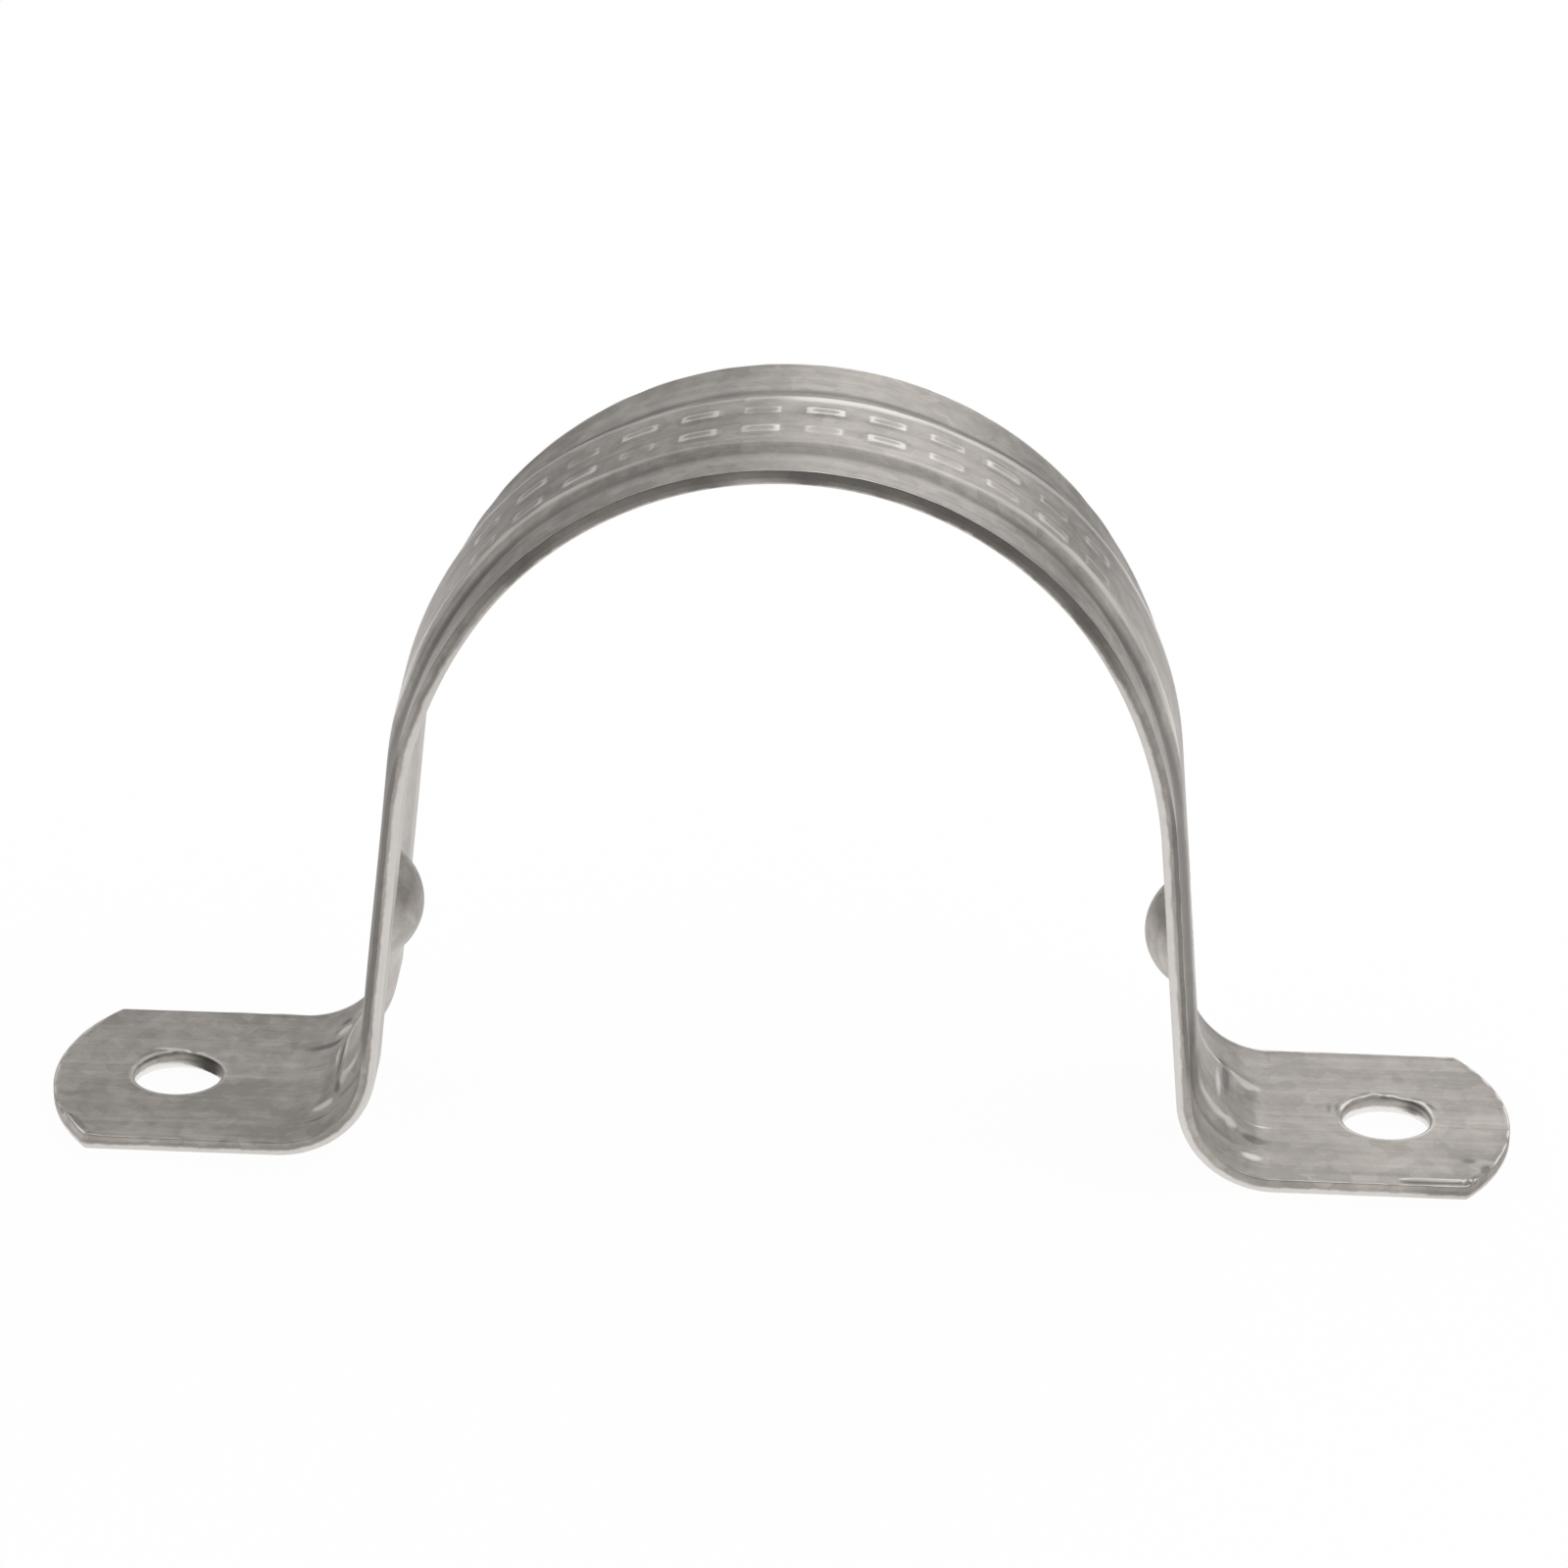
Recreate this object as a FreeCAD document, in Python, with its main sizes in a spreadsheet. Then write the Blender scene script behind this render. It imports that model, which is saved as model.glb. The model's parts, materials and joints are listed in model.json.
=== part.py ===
import FreeCAD, Part
import math
import os
import Sketcher

# A two-hole conduit strap: one strip of galvanised sheet steel, stamped and bent in one piece.
# The strip runs flat foot, foot bend, splayed leg, arch over the conduit, and the same down the
# other side.  A flat-topped rib is pressed outwards along the arch and the legs and dies away in
# the foot bends.  One dimple on each leg is pressed inwards to grip the conduit, and each foot has
# a screw hole and an end cut to an arc.
#
# Frame: millimetres, +Z up.  The feet stand on z = 0, the conduit runs along Y at x = 0, and the
# strap's length lies along X.  Everything is built for the +X half and mirrored in the YZ plane.

V = FreeCAD.Vector
UP = V(0, 0, 1)

doc = FreeCAD.newDocument("conduit_strap")

# --- driving dimensions ------------------------------------------------------------------------

SIZES = [
    ("conduit_diameter", 60.3),     # outside diameter of the conduit that the arch seats on
    ("saddle_clearance", 0.05),     # gap between conduit and arch, on the radius
    ("saddle_height", 31.8),        # height of the conduit's axis above the mounting surface
    ("saddle_half_angle", 55.0),    # from the crown to where the arch opens out
    ("shoulder_radius", 36.8),      # inside radius of the wider arc below the saddle
    ("leg_splay", 5.3),             # lean of each leg from upright
    ("bend_radius", 7.3),           # inside radius of the foot bend
    ("strip_width", 24.6),
    ("sheet_thickness", 1.25),
    ("edge_radius", 0.4),           # the inner face's edges, which the shear rolled over
    ("corner_radius", 0.5),         # rounding of the foot's corners, seen from above
    ("hole_diameter", 7.5),
    ("hole_setback", 9.7),          # from the end of the foot bend to the screw hole
    ("end_setback", 10.5),          # from the screw hole to the tip of the foot
    ("end_radius", 20.5),           # arc of the foot's end, seen from above
    ("hole_lip", 0.2),              # bevel of the punched hole's upper rim
    ("rib_top_width", 10.4),        # the flat of the rib, between its rounded corners
    ("rib_flank_angle", 35.0),      # slope of the rib's flanks
    ("rib_corner_radius", 0.9),     # inside radius of the rib's corners
    ("rib_rise_crown", 0.35),       # rise of the rib at the crown, where it is flattened
    ("rib_rise_leg", 0.75),         # rise of the rib on the legs
    ("rib_bend_radius", 6.6),
    ("rib_runout_angle", 20.0),     # slope at which the rib runs out on the foot
    ("dimple_height", 18.1),        # height of the dimple's middle above the mounting surface
    ("dimple_projection", 2.0),     # how far the dimple stands in from the leg's inner face
    ("dimple_radius", 5.3),         # radius of the dimple's dome
    ("dimple_rim_radius", 0.6),
]

sheet = doc.addObject("Spreadsheet::Sheet", "sizes")
for row, (alias, value) in enumerate(SIZES, start=1):
    sheet.set("A%d" % row, alias)
    sheet.set("B%d" % row, str(value))
    sheet.setAlias("B%d" % row, alias)
doc.recompute()


def size(alias):
    """Value of one cell of the sheet."""
    return float(sheet.get(alias))


# --- helpers -----------------------------------------------------------------------------------

strap = doc.addObject("PartDesign::Body", "strap")
strap.Label = "strap"


def plane(role):
    """One of the body's own origin planes, found by its role."""
    return next(f for f in strap.Origin.OriginFeatures if f.Role == role)


def new_sketch(name, role):
    """A sketch on one of the body's origin planes."""
    sketch = strap.newObject("Sketcher::SketchObject", name)
    sketch.AttachmentSupport = [(plane(role), "")]
    sketch.MapMode = "FlatFace"
    return sketch


def line(sketch, start, end):
    """A straight segment between two points of the sketch plane."""
    return sketch.addGeometry(Part.LineSegment(V(*start, 0), V(*end, 0)), False)


def arc(sketch, centre, radius, start_deg, end_deg):
    """An arc, anticlockwise from one angle to the other."""
    circle = Part.Circle(V(*centre, 0), UP, radius)
    ends = math.radians(start_deg), math.radians(end_deg)
    return sketch.addGeometry(Part.ArcOfCircle(circle, *ends), False)


def rule(sketch, kind, *where):
    """A geometric rule, such as Tangent or Horizontal."""
    return sketch.addConstraint(Sketcher.Constraint(kind, *where))


def dimension(sketch, name, formula, kind, *where):
    """A dimension that follows a formula in the sheet's sizes."""
    index = sketch.addConstraint(Sketcher.Constraint(kind, *where))
    sketch.renameConstraint(index, name)
    sketch.setExpression("Constraints." + name, formula)
    return index


def edges_where(feature, test):
    """Names of the feature's edges that pass a test."""
    found = []
    for number, edge in enumerate(feature.Shape.Edges, start=1):
        if test(edge):
            found.append("Edge%d" % number)
    return found


def same(first, second):
    """Whether two lengths agree, apart from rounding."""
    return abs(first - second) < 1e-6


def points_along(edge):
    """Five points spread along an edge."""
    low, high = edge.ParameterRange
    return [edge.valueAt(low + (high - low) * k / 4) for k in range(5)]


# Sketch positions: points 1, 2 and 3 of a piece are its start, its end and its centre.
START, END, CENTRE = range(1, 4)
X_AXIS, Z_AXIS = -1, -2
ORIGIN = (-1, 1)

# Starting positions for the solver, worked out from the same sizes that bind the sketches.
thickness = size("sheet_thickness")
saddle = size("conduit_diameter") / 2 + size("saddle_clearance")
shoulder = size("shoulder_radius")
height = size("saddle_height")
splay = size("leg_splay")
open_at = 90 - size("saddle_half_angle")
bend = size("bend_radius")
half_width = size("strip_width") / 2


def polar(centre, radius, degrees):
    """Point at an angle on a circle in the sketch plane."""
    angle = math.radians(degrees)
    return (centre[0] + radius * math.cos(angle), centre[1] + radius * math.sin(angle))


saddle_centre = (0, height)
shoulder_centre = polar(saddle_centre, saddle - shoulder, open_at)
leg_reach = (shoulder_centre[0] * math.cos(math.radians(splay))
             + (shoulder_centre[1] - height) * math.sin(math.radians(splay)) + shoulder)


def bend_centre_x(reach, radius, rise):
    """X of a bend centre at a height, beside a leg line at a distance from the saddle's axis."""
    slope = math.radians(splay)
    return (reach + radius - (rise - height) * math.sin(slope)) / math.cos(slope)


foot_bend_z = thickness + bend
foot_bend = (bend_centre_x(leg_reach, bend + thickness, foot_bend_z), foot_bend_z)
foot_tip = foot_bend[0] + size("hole_setback") + size("end_setback")

# --- the bent strip ----------------------------------------------------------------------------

SADDLE = "(sizes.conduit_diameter / 2 + sizes.saddle_clearance) * 1 mm"

side = new_sketch("side_profile", "XZ_Plane")
in_saddle = arc(side, saddle_centre, saddle, open_at, 90)
in_shoulder = arc(side, shoulder_centre, shoulder, splay, open_at)
in_leg = line(side, polar(foot_bend, bend + thickness, 180 + splay),
              polar(shoulder_centre, shoulder, splay))
under_bend = arc(side, foot_bend, bend + thickness, 180 + splay, 270)
under_foot = line(side, (foot_bend[0], 0), (foot_tip, 0))
tip = line(side, (foot_tip, 0), (foot_tip, thickness))
top_foot = line(side, (foot_tip, thickness), (foot_bend[0], thickness))
top_bend = arc(side, foot_bend, bend, 180 + splay, 270)
out_leg = line(side, polar(foot_bend, bend, 180 + splay),
               polar(shoulder_centre, shoulder + thickness, splay))
out_shoulder = arc(side, shoulder_centre, shoulder + thickness, splay, open_at)
out_saddle = arc(side, saddle_centre, saddle + thickness, open_at, 90)
crown = line(side, (0, height + saddle + thickness), (0, height + saddle))

rule(side, "Tangent", in_saddle, START, in_shoulder, END)
rule(side, "Tangent", in_shoulder, START, in_leg, END)
rule(side, "Tangent", in_leg, START, under_bend, START)
rule(side, "Tangent", under_bend, END, under_foot, START)
rule(side, "Coincident", under_foot, END, tip, START)
rule(side, "Coincident", tip, END, top_foot, START)
rule(side, "Tangent", top_foot, END, top_bend, END)
rule(side, "Tangent", top_bend, START, out_leg, START)
rule(side, "Tangent", out_leg, END, out_shoulder, START)
rule(side, "Tangent", out_shoulder, END, out_saddle, START)
rule(side, "Coincident", out_saddle, END, crown, START)
rule(side, "Coincident", crown, END, in_saddle, END)
rule(side, "Coincident", in_saddle, CENTRE, out_saddle, CENTRE)
rule(side, "Coincident", in_shoulder, CENTRE, out_shoulder, CENTRE)
rule(side, "Coincident", under_bend, CENTRE, top_bend, CENTRE)
rule(side, "Vertical", tip)
rule(side, "Vertical", crown)
rule(side, "Equal", tip, crown)
rule(side, "PointOnObject", in_saddle, CENTRE, Z_AXIS)
rule(side, "PointOnObject", in_saddle, END, Z_AXIS)
rule(side, "PointOnObject", under_foot, START, X_AXIS)
rule(side, "Horizontal", under_foot)
rule(side, "Horizontal", top_foot)
dimension(side, "saddle_radius", SADDLE, "Radius", in_saddle, saddle)
dimension(side, "shoulder", "sizes.shoulder_radius * 1 mm", "Radius", in_shoulder, shoulder)
dimension(side, "bend", "sizes.bend_radius * 1 mm", "Radius", top_bend, bend)
dimension(side, "height", "sizes.saddle_height * 1 mm",
          "DistanceY", *ORIGIN, in_saddle, CENTRE, height)
dimension(side, "saddle_angle", "sizes.saddle_half_angle * 1 deg",
          "Angle", in_saddle, math.radians(size("saddle_half_angle")))
dimension(side, "splay", "(90 + sizes.leg_splay) * 1 deg", "Angle", in_leg, math.radians(90 + splay))
dimension(side, "thickness", "sizes.sheet_thickness * 1 mm", "DistanceY", tip, START, tip, END, thickness)
dimension(side, "foot_length", "(sizes.hole_setback + sizes.end_setback) * 1 mm",
          "DistanceX", under_foot, START, under_foot, END, foot_tip - foot_bend[0])

# Two measured places that later sketches line up with.
measured = side.addConstraint(Sketcher.Constraint("DistanceX", *ORIGIN, under_foot, START, foot_bend[0]))
side.renameConstraint(measured, "foot_start")
side.setDriving(measured, False)
measured = side.addConstraint(Sketcher.Constraint("Distance", in_saddle, CENTRE, in_leg, leg_reach))
side.renameConstraint(measured, "leg_reach")
side.setDriving(measured, False)

strip = strap.newObject("PartDesign::Pad", "strip")
strip.Profile = side
strip.SideType = "Symmetric"
strip.setExpression("Length", "sizes.strip_width * 1 mm")
doc.recompute()

# --- the foot's outline and the strip's rolled edges -------------------------------------------

# The end of the foot is cut to an arc: everything between the arc and a wider arc comes away.
FOOT_TIP = "side_profile.Constraints.foot_start + (sizes.hole_setback + sizes.end_setback) * 1 mm"
end_radius = size("end_radius")
end_centre = (foot_tip - end_radius, 0)
CUT_ANGLE = 60
CUT_MARGIN = 8

end_cut = new_sketch("end_outline", "XY_Plane")
cut_in = arc(end_cut, end_centre, end_radius, -CUT_ANGLE, CUT_ANGLE)
cut_out = arc(end_cut, end_centre, end_radius + CUT_MARGIN, -CUT_ANGLE, CUT_ANGLE)
cut_low = line(end_cut, polar(end_centre, end_radius, -CUT_ANGLE),
               polar(end_centre, end_radius + CUT_MARGIN, -CUT_ANGLE))
cut_high = line(end_cut, polar(end_centre, end_radius + CUT_MARGIN, CUT_ANGLE),
                polar(end_centre, end_radius, CUT_ANGLE))
rule(end_cut, "Coincident", cut_in, START, cut_low, START)
rule(end_cut, "Coincident", cut_low, END, cut_out, START)
rule(end_cut, "Coincident", cut_out, END, cut_high, START)
rule(end_cut, "Coincident", cut_high, END, cut_in, END)
rule(end_cut, "Coincident", cut_in, CENTRE, cut_out, CENTRE)
rule(end_cut, "PointOnObject", cut_in, CENTRE, X_AXIS)
rule(end_cut, "Symmetric", cut_in, START, cut_in, END, X_AXIS)
rule(end_cut, "Symmetric", cut_out, START, cut_out, END, X_AXIS)
dimension(end_cut, "end_radius", "sizes.end_radius * 1 mm", "Radius", cut_in, end_radius)
dimension(end_cut, "reach", "(sizes.end_radius + %g) * 1 mm" % CUT_MARGIN,
          "Radius", cut_out, end_radius + CUT_MARGIN)
dimension(end_cut, "spread", "%g deg" % (2 * CUT_ANGLE), "Angle", cut_in, math.radians(2 * CUT_ANGLE))
dimension(end_cut, "spread_out", "%g deg" % (2 * CUT_ANGLE), "Angle", cut_out, math.radians(2 * CUT_ANGLE))
dimension(end_cut, "centre", FOOT_TIP + " - sizes.end_radius * 1 mm",
          "DistanceX", *ORIGIN, cut_in, CENTRE, end_centre[0])

end_pocket = strap.newObject("PartDesign::Pocket", "end_arc")
end_pocket.Profile = end_cut
end_pocket.Type = "Length"
end_pocket.Reversed = True
end_pocket.setExpression("Length", "2 * sizes.sheet_thickness * 1 mm")
doc.recompute()


def is_corner(edge):
    """The two upright edges where the foot's end meets its sides."""
    ends = [v.Point for v in edge.Vertexes]
    upright = len(ends) == 2 and same(ends[0].x, ends[1].x) and same(ends[0].y, ends[1].y)
    return upright and ends[0].x > foot_bend[0]


corners = strap.newObject("PartDesign::Fillet", "foot_corners")
corners.Base = (end_pocket, edges_where(end_pocket, is_corner))
corners.setExpression("Radius", "sizes.corner_radius * 1 mm")
doc.recompute()


inner_pieces = (in_saddle, in_shoulder, in_leg, under_bend, under_foot)
inner_line = Part.Compound([side.Geometry[k].toShape() for k in inner_pieces])
inner_line.Placement = side.Placement


def is_rolled_edge(edge):
    """Edges round the inner face, apart from those that run straight across it."""
    spots = points_along(edge)
    on_line = [Part.Vertex(p.x, 0, p.z) for p in spots]
    across = same(on_line[0].Point.distanceToPoint(on_line[2].Point), 0)
    return not across and all(same(v.distToShape(inner_line)[0], 0) for v in on_line)


rolled = strap.newObject("PartDesign::Fillet", "rolled_edges")
rolled.Base = (corners, edges_where(corners, is_rolled_edge))
rolled.setExpression("Radius", "sizes.edge_radius * 1 mm")
doc.recompute()

# --- the rib -----------------------------------------------------------------------------------

# The rib's crest follows its own line: lower at the crown, full height on the leg, then down into
# the foot along a straight run-out.  The hollow on the underside follows the same line one sheet
# thickness inside it, so the wall keeps its thickness.
LEG_REACH = "side_profile.Constraints.leg_reach"
runout = size("rib_runout_angle")
rib_bend = size("rib_bend_radius")
RIB_END = 0.9       # the crest's end, as a share of the sheet thickness, buried in the foot
HOLLOW_END = -1.0   # the hollow's end, clear below the foot


def rib_line(name, inset, end_share):
    """The crest line of the rib, or the line a distance inside it, as an open chain."""
    sketch = new_sketch(name, "XZ_Plane")
    crest = thickness - inset
    top = height + saddle + crest + size("rib_rise_crown")
    reach = leg_reach + crest + size("rib_rise_leg")
    drop = (reach - (top - height)) / (1 - math.sin(math.radians(splay)))
    centre = (0, height - drop)
    radius = top - centre[1]
    turn = rib_bend + inset
    bend_middle = (bend_centre_x(reach, turn, foot_bend_z), foot_bend_z)
    tail_start = polar(bend_middle, turn, 270 - runout)
    tail_end_z = end_share * thickness
    tail_run = (tail_start[1] - tail_end_z) / math.tan(math.radians(runout))

    arch = arc(sketch, centre, radius, splay, 90)
    leg = line(sketch, polar(bend_middle, turn, 180 + splay), polar(centre, radius, splay))
    corner = arc(sketch, bend_middle, turn, 180 + splay, 270 - runout)
    tail = line(sketch, tail_start, (tail_start[0] + tail_run, tail_end_z))
    axis = sketch.addGeometry(Part.Point(V(0, height, 0)), True)

    rule(sketch, "Tangent", arch, START, leg, END)
    rule(sketch, "Tangent", leg, START, corner, START)
    rule(sketch, "Tangent", corner, END, tail, START)
    rule(sketch, "PointOnObject", arch, CENTRE, Z_AXIS)
    rule(sketch, "PointOnObject", arch, END, Z_AXIS)
    rule(sketch, "PointOnObject", axis, START, Z_AXIS)
    level = "sizes.sheet_thickness" if inset == 0 else "0"
    dimension(sketch, "axis_height", "sizes.saddle_height * 1 mm",
              "DistanceY", *ORIGIN, axis, START, height)
    dimension(sketch, "crown_height",
              SADDLE + " + (%s + sizes.rib_rise_crown) * 1 mm" % level,
              "DistanceY", axis, START, arch, END, top - height)
    dimension(sketch, "reach", LEG_REACH + " + (%s + sizes.rib_rise_leg) * 1 mm" % level,
              "Distance", axis, START, leg, reach)
    dimension(sketch, "splay", "(90 + sizes.leg_splay) * 1 deg",
              "Angle", leg, math.radians(90 + splay))
    dimension(sketch, "bend_height", "(sizes.sheet_thickness + sizes.bend_radius) * 1 mm",
              "DistanceY", *ORIGIN, corner, CENTRE, foot_bend_z)
    extra = "0" if inset == 0 else "sizes.sheet_thickness"
    dimension(sketch, "turn", "(sizes.rib_bend_radius + %s) * 1 mm" % extra,
              "Radius", corner, turn)
    dimension(sketch, "runout", "-sizes.rib_runout_angle * 1 deg",
              "Angle", tail, math.radians(-runout))
    dimension(sketch, "tail_end", "%g * sizes.sheet_thickness * 1 mm" % end_share,
              "DistanceY", *ORIGIN, tail, END, tail_end_z)
    return sketch


def flank_section(name, inset):
    """The rib's section at the crown: a flat top rounded off into two sloping flanks."""
    sketch = new_sketch(name, "YZ_Plane")
    flank = size("rib_flank_angle")
    flat = size("rib_top_width") / 2
    rounding = size("rib_corner_radius") + thickness - inset
    top = height + saddle + thickness - inset + size("rib_rise_crown")
    depth = size("rib_rise_leg") + (thickness / 2 if inset == 0 else 2 * thickness)
    right_centre = (flat, top - rounding)
    left_centre = (-flat, top - rounding)
    right_top = polar(right_centre, rounding, 90 - flank)
    left_top = polar(left_centre, rounding, 90 + flank)
    half_base = right_top[0] + (right_top[1] - top + depth) / math.tan(math.radians(flank))

    crest = line(sketch, (-flat, top), (flat, top))
    right_round = arc(sketch, right_centre, rounding, 90 - flank, 90)
    right = line(sketch, right_top, (half_base, top - depth))
    base = line(sketch, (half_base, top - depth), (-half_base, top - depth))
    left = line(sketch, (-half_base, top - depth), left_top)
    left_round = arc(sketch, left_centre, rounding, 90, 90 + flank)

    rule(sketch, "Tangent", crest, END, right_round, END)
    rule(sketch, "Tangent", right_round, START, right, START)
    rule(sketch, "Coincident", right, END, base, START)
    rule(sketch, "Coincident", base, END, left, START)
    rule(sketch, "Tangent", left, END, left_round, END)
    rule(sketch, "Tangent", left_round, START, crest, START)
    rule(sketch, "Symmetric", crest, START, crest, END, Z_AXIS)
    rule(sketch, "Symmetric", base, START, base, END, Z_AXIS)
    rule(sketch, "Equal", left_round, right_round)
    level = "sizes.sheet_thickness" if inset == 0 else "0"
    below = "sizes.sheet_thickness / 2" if inset == 0 else "2 * sizes.sheet_thickness"
    dimension(sketch, "crown_height",
              SADDLE + " + (sizes.saddle_height + %s + sizes.rib_rise_crown) * 1 mm" % level,
              "DistanceY", *ORIGIN, crest, END, top)
    dimension(sketch, "top_width", "sizes.rib_top_width * 1 mm",
              "DistanceX", crest, START, crest, END, 2 * flat)
    dimension(sketch, "rounding", "(sizes.rib_corner_radius + %s) * 1 mm" % level,
              "Radius", right_round, rounding)
    dimension(sketch, "flank", "-sizes.rib_flank_angle * 1 deg", "Angle", right, math.radians(-flank))
    dimension(sketch, "depth", "(sizes.rib_rise_leg + %s) * 1 mm" % below,
              "DistanceY", right, END, crest, END, depth)
    return sketch


rib_path = rib_line("rib_path", 0, RIB_END)
rib_section = flank_section("rib_section", 0)
rib = strap.newObject("PartDesign::AdditivePipe", "rib")
rib.Profile = rib_section
rib.Spine = (rib_path, [""])
rib.Mode = "Standard"
doc.recompute()

hollow_path = rib_line("hollow_path", thickness, HOLLOW_END)
hollow_section = flank_section("hollow_section", thickness)
hollow = strap.newObject("PartDesign::SubtractivePipe", "rib_hollow")
hollow.Profile = hollow_section
hollow.Spine = (hollow_path, [""])
hollow.Mode = "Standard"
doc.recompute()

# The rib's run-out stops flush with the underside of the foot.
flush = new_sketch("underside", "XY_Plane")
trim_reach = foot_tip + CUT_MARGIN
low = line(flush, (0, -half_width), (trim_reach, -half_width))
far = line(flush, (trim_reach, -half_width), (trim_reach, half_width))
high = line(flush, (trim_reach, half_width), (0, half_width))
near = line(flush, (0, half_width), (0, -half_width))
for first, second in ((low, far), (far, high), (high, near), (near, low)):
    rule(flush, "Coincident", first, END, second, START)
rule(flush, "Horizontal", low)
rule(flush, "Vertical", far)
rule(flush, "Horizontal", high)
rule(flush, "PointOnObject", near, START, Z_AXIS)
rule(flush, "Symmetric", near, START, near, END, X_AXIS)
dimension(flush, "width", "sizes.strip_width * 1 mm", "DistanceY", near, END, near, START, 2 * half_width)
dimension(flush, "reach", FOOT_TIP + " + %g mm" % CUT_MARGIN,
          "DistanceX", low, START, low, END, trim_reach)
trim = strap.newObject("PartDesign::Pocket", "flush_underside")
trim.Profile = flush
trim.Type = "Length"
trim.setExpression("Length", "2 * sizes.sheet_thickness * 1 mm")
doc.recompute()

# --- the dimple --------------------------------------------------------------------------------

# A dome pressed inwards through the middle of the leg, with a concentric dent outside it, so the
# wall keeps its thickness.  Both are turned about one axis square to the leg.
dome_radius = size("dimple_radius")
lean = math.radians(splay)
inward = (-math.cos(lean), -math.sin(lean))
foot_of_axis = (leg_reach * math.cos(lean), height + leg_reach * math.sin(lean))
slide = (foot_of_axis[1] - size("dimple_height")) / math.cos(lean)
on_leg = (foot_of_axis[0] + slide * math.sin(lean), foot_of_axis[1] - slide * math.cos(lean))
dome_depth = size("dimple_projection") - dome_radius
dome_centre = (on_leg[0] + inward[0] * dome_depth, on_leg[1] + inward[1] * dome_depth)


def dome(name, inset, backing):
    """Half section of the dome, closed along the axis that it is turned about.

    A backing distance ends the dome at a plane that far behind the leg's inner face; without one
    the section is a whole half disc.
    """
    sketch = new_sketch(name, "XZ_Plane")
    radius = dome_radius - inset
    in_deg = 180 + splay
    tip_point = polar(dome_centre, radius, in_deg)
    if backing:
        depth = math.acos((-dome_depth - backing) / radius)
        start_deg = in_deg - math.degrees(depth)
        back_point = (on_leg[0] - inward[0] * backing, on_leg[1] - inward[1] * backing)
    else:
        start_deg = splay
        back_point = polar(dome_centre, radius, start_deg)
    cap = arc(sketch, dome_centre, radius, start_deg, in_deg)
    spine = line(sketch, tip_point, back_point)
    axis = sketch.addGeometry(Part.Point(V(0, height, 0)), True)
    mark = sketch.addGeometry(Part.Point(V(*on_leg, 0)), True)
    leg = sketch.addGeometry(Part.LineSegment(V(*foot_of_axis, 0), V(*on_leg, 0)), True)
    rule(sketch, "Coincident", cap, END, spine, START)
    rule(sketch, "PointOnObject", cap, CENTRE, spine)
    rule(sketch, "PointOnObject", axis, START, Z_AXIS)
    rule(sketch, "Coincident", leg, END, mark, START)
    rule(sketch, "Perpendicular", leg, spine)
    rule(sketch, "PointOnObject", mark, START, spine)
    if backing:
        rim = line(sketch, back_point, polar(dome_centre, radius, start_deg))
        rule(sketch, "Coincident", spine, END, rim, START)
        rule(sketch, "Coincident", rim, END, cap, START)
        rule(sketch, "Perpendicular", rim, spine)
        dimension(sketch, "backing", "(sizes.rib_rise_leg + sizes.sheet_thickness / 2) * 1 mm",
                  "Distance", mark, START, spine, END, backing)
    else:
        rule(sketch, "Coincident", spine, END, cap, START)
    dimension(sketch, "axis_height", "sizes.saddle_height * 1 mm",
              "DistanceY", *ORIGIN, axis, START, height)
    dimension(sketch, "splay", "(270 + sizes.leg_splay) * 1 deg",
              "Angle", leg, math.radians(270 + splay))
    dimension(sketch, "reach", LEG_REACH, "Distance", axis, START, leg, leg_reach)
    dimension(sketch, "dimple_height", "sizes.dimple_height * 1 mm",
              "DistanceY", *ORIGIN, mark, START, size("dimple_height"))
    rule(sketch, "Horizontal", axis, START, leg, START)
    taken = "0" if inset == 0 else "sizes.sheet_thickness"
    dimension(sketch, "dome", "(sizes.dimple_radius - %s) * 1 mm" % taken, "Radius", cap, radius)
    dimension(sketch, "projection", "(sizes.dimple_projection - %s) * 1 mm" % taken,
              "Distance", mark, START, cap, END, size("dimple_projection") - inset)
    return sketch, spine


def turn(kind, name, sketch, spine):
    """The section turned a full circle about its straight side."""
    feature = strap.newObject("PartDesign::" + kind, name)
    feature.Profile = sketch
    feature.ReferenceAxis = (sketch, ["Edge%d" % (spine + 1)])
    feature.Angle = 360
    doc.recompute()
    return feature


MID_WALL = size("rib_rise_leg") + thickness / 2
bump = turn("Revolution", "dimple", *dome("dimple_dome", 0, MID_WALL))
dent = turn("Groove", "dimple_dent", *dome("dent_dome", thickness, 0))


def is_dimple_rim(edge):
    """The circles where the dome and its dent leave the flat of the rib."""
    spots = points_along(edge)
    middle = V(on_leg[0], 0, on_leg[1])
    away = [(p - middle).Length for p in spots]
    round_axis = same(max(away), min(away)) and same(spots[0].distanceToPoint(spots[-1]), 0)
    return round_axis and max(away) < dome_radius + thickness


dimple_rims = strap.newObject("PartDesign::Fillet", "dimple_rims")
dimple_rims.Base = (dent, edges_where(dent, is_dimple_rim))
dimple_rims.setExpression("Radius", "sizes.dimple_rim_radius * 1 mm")
doc.recompute()

# --- the screw hole ----------------------------------------------------------------------------

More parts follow.
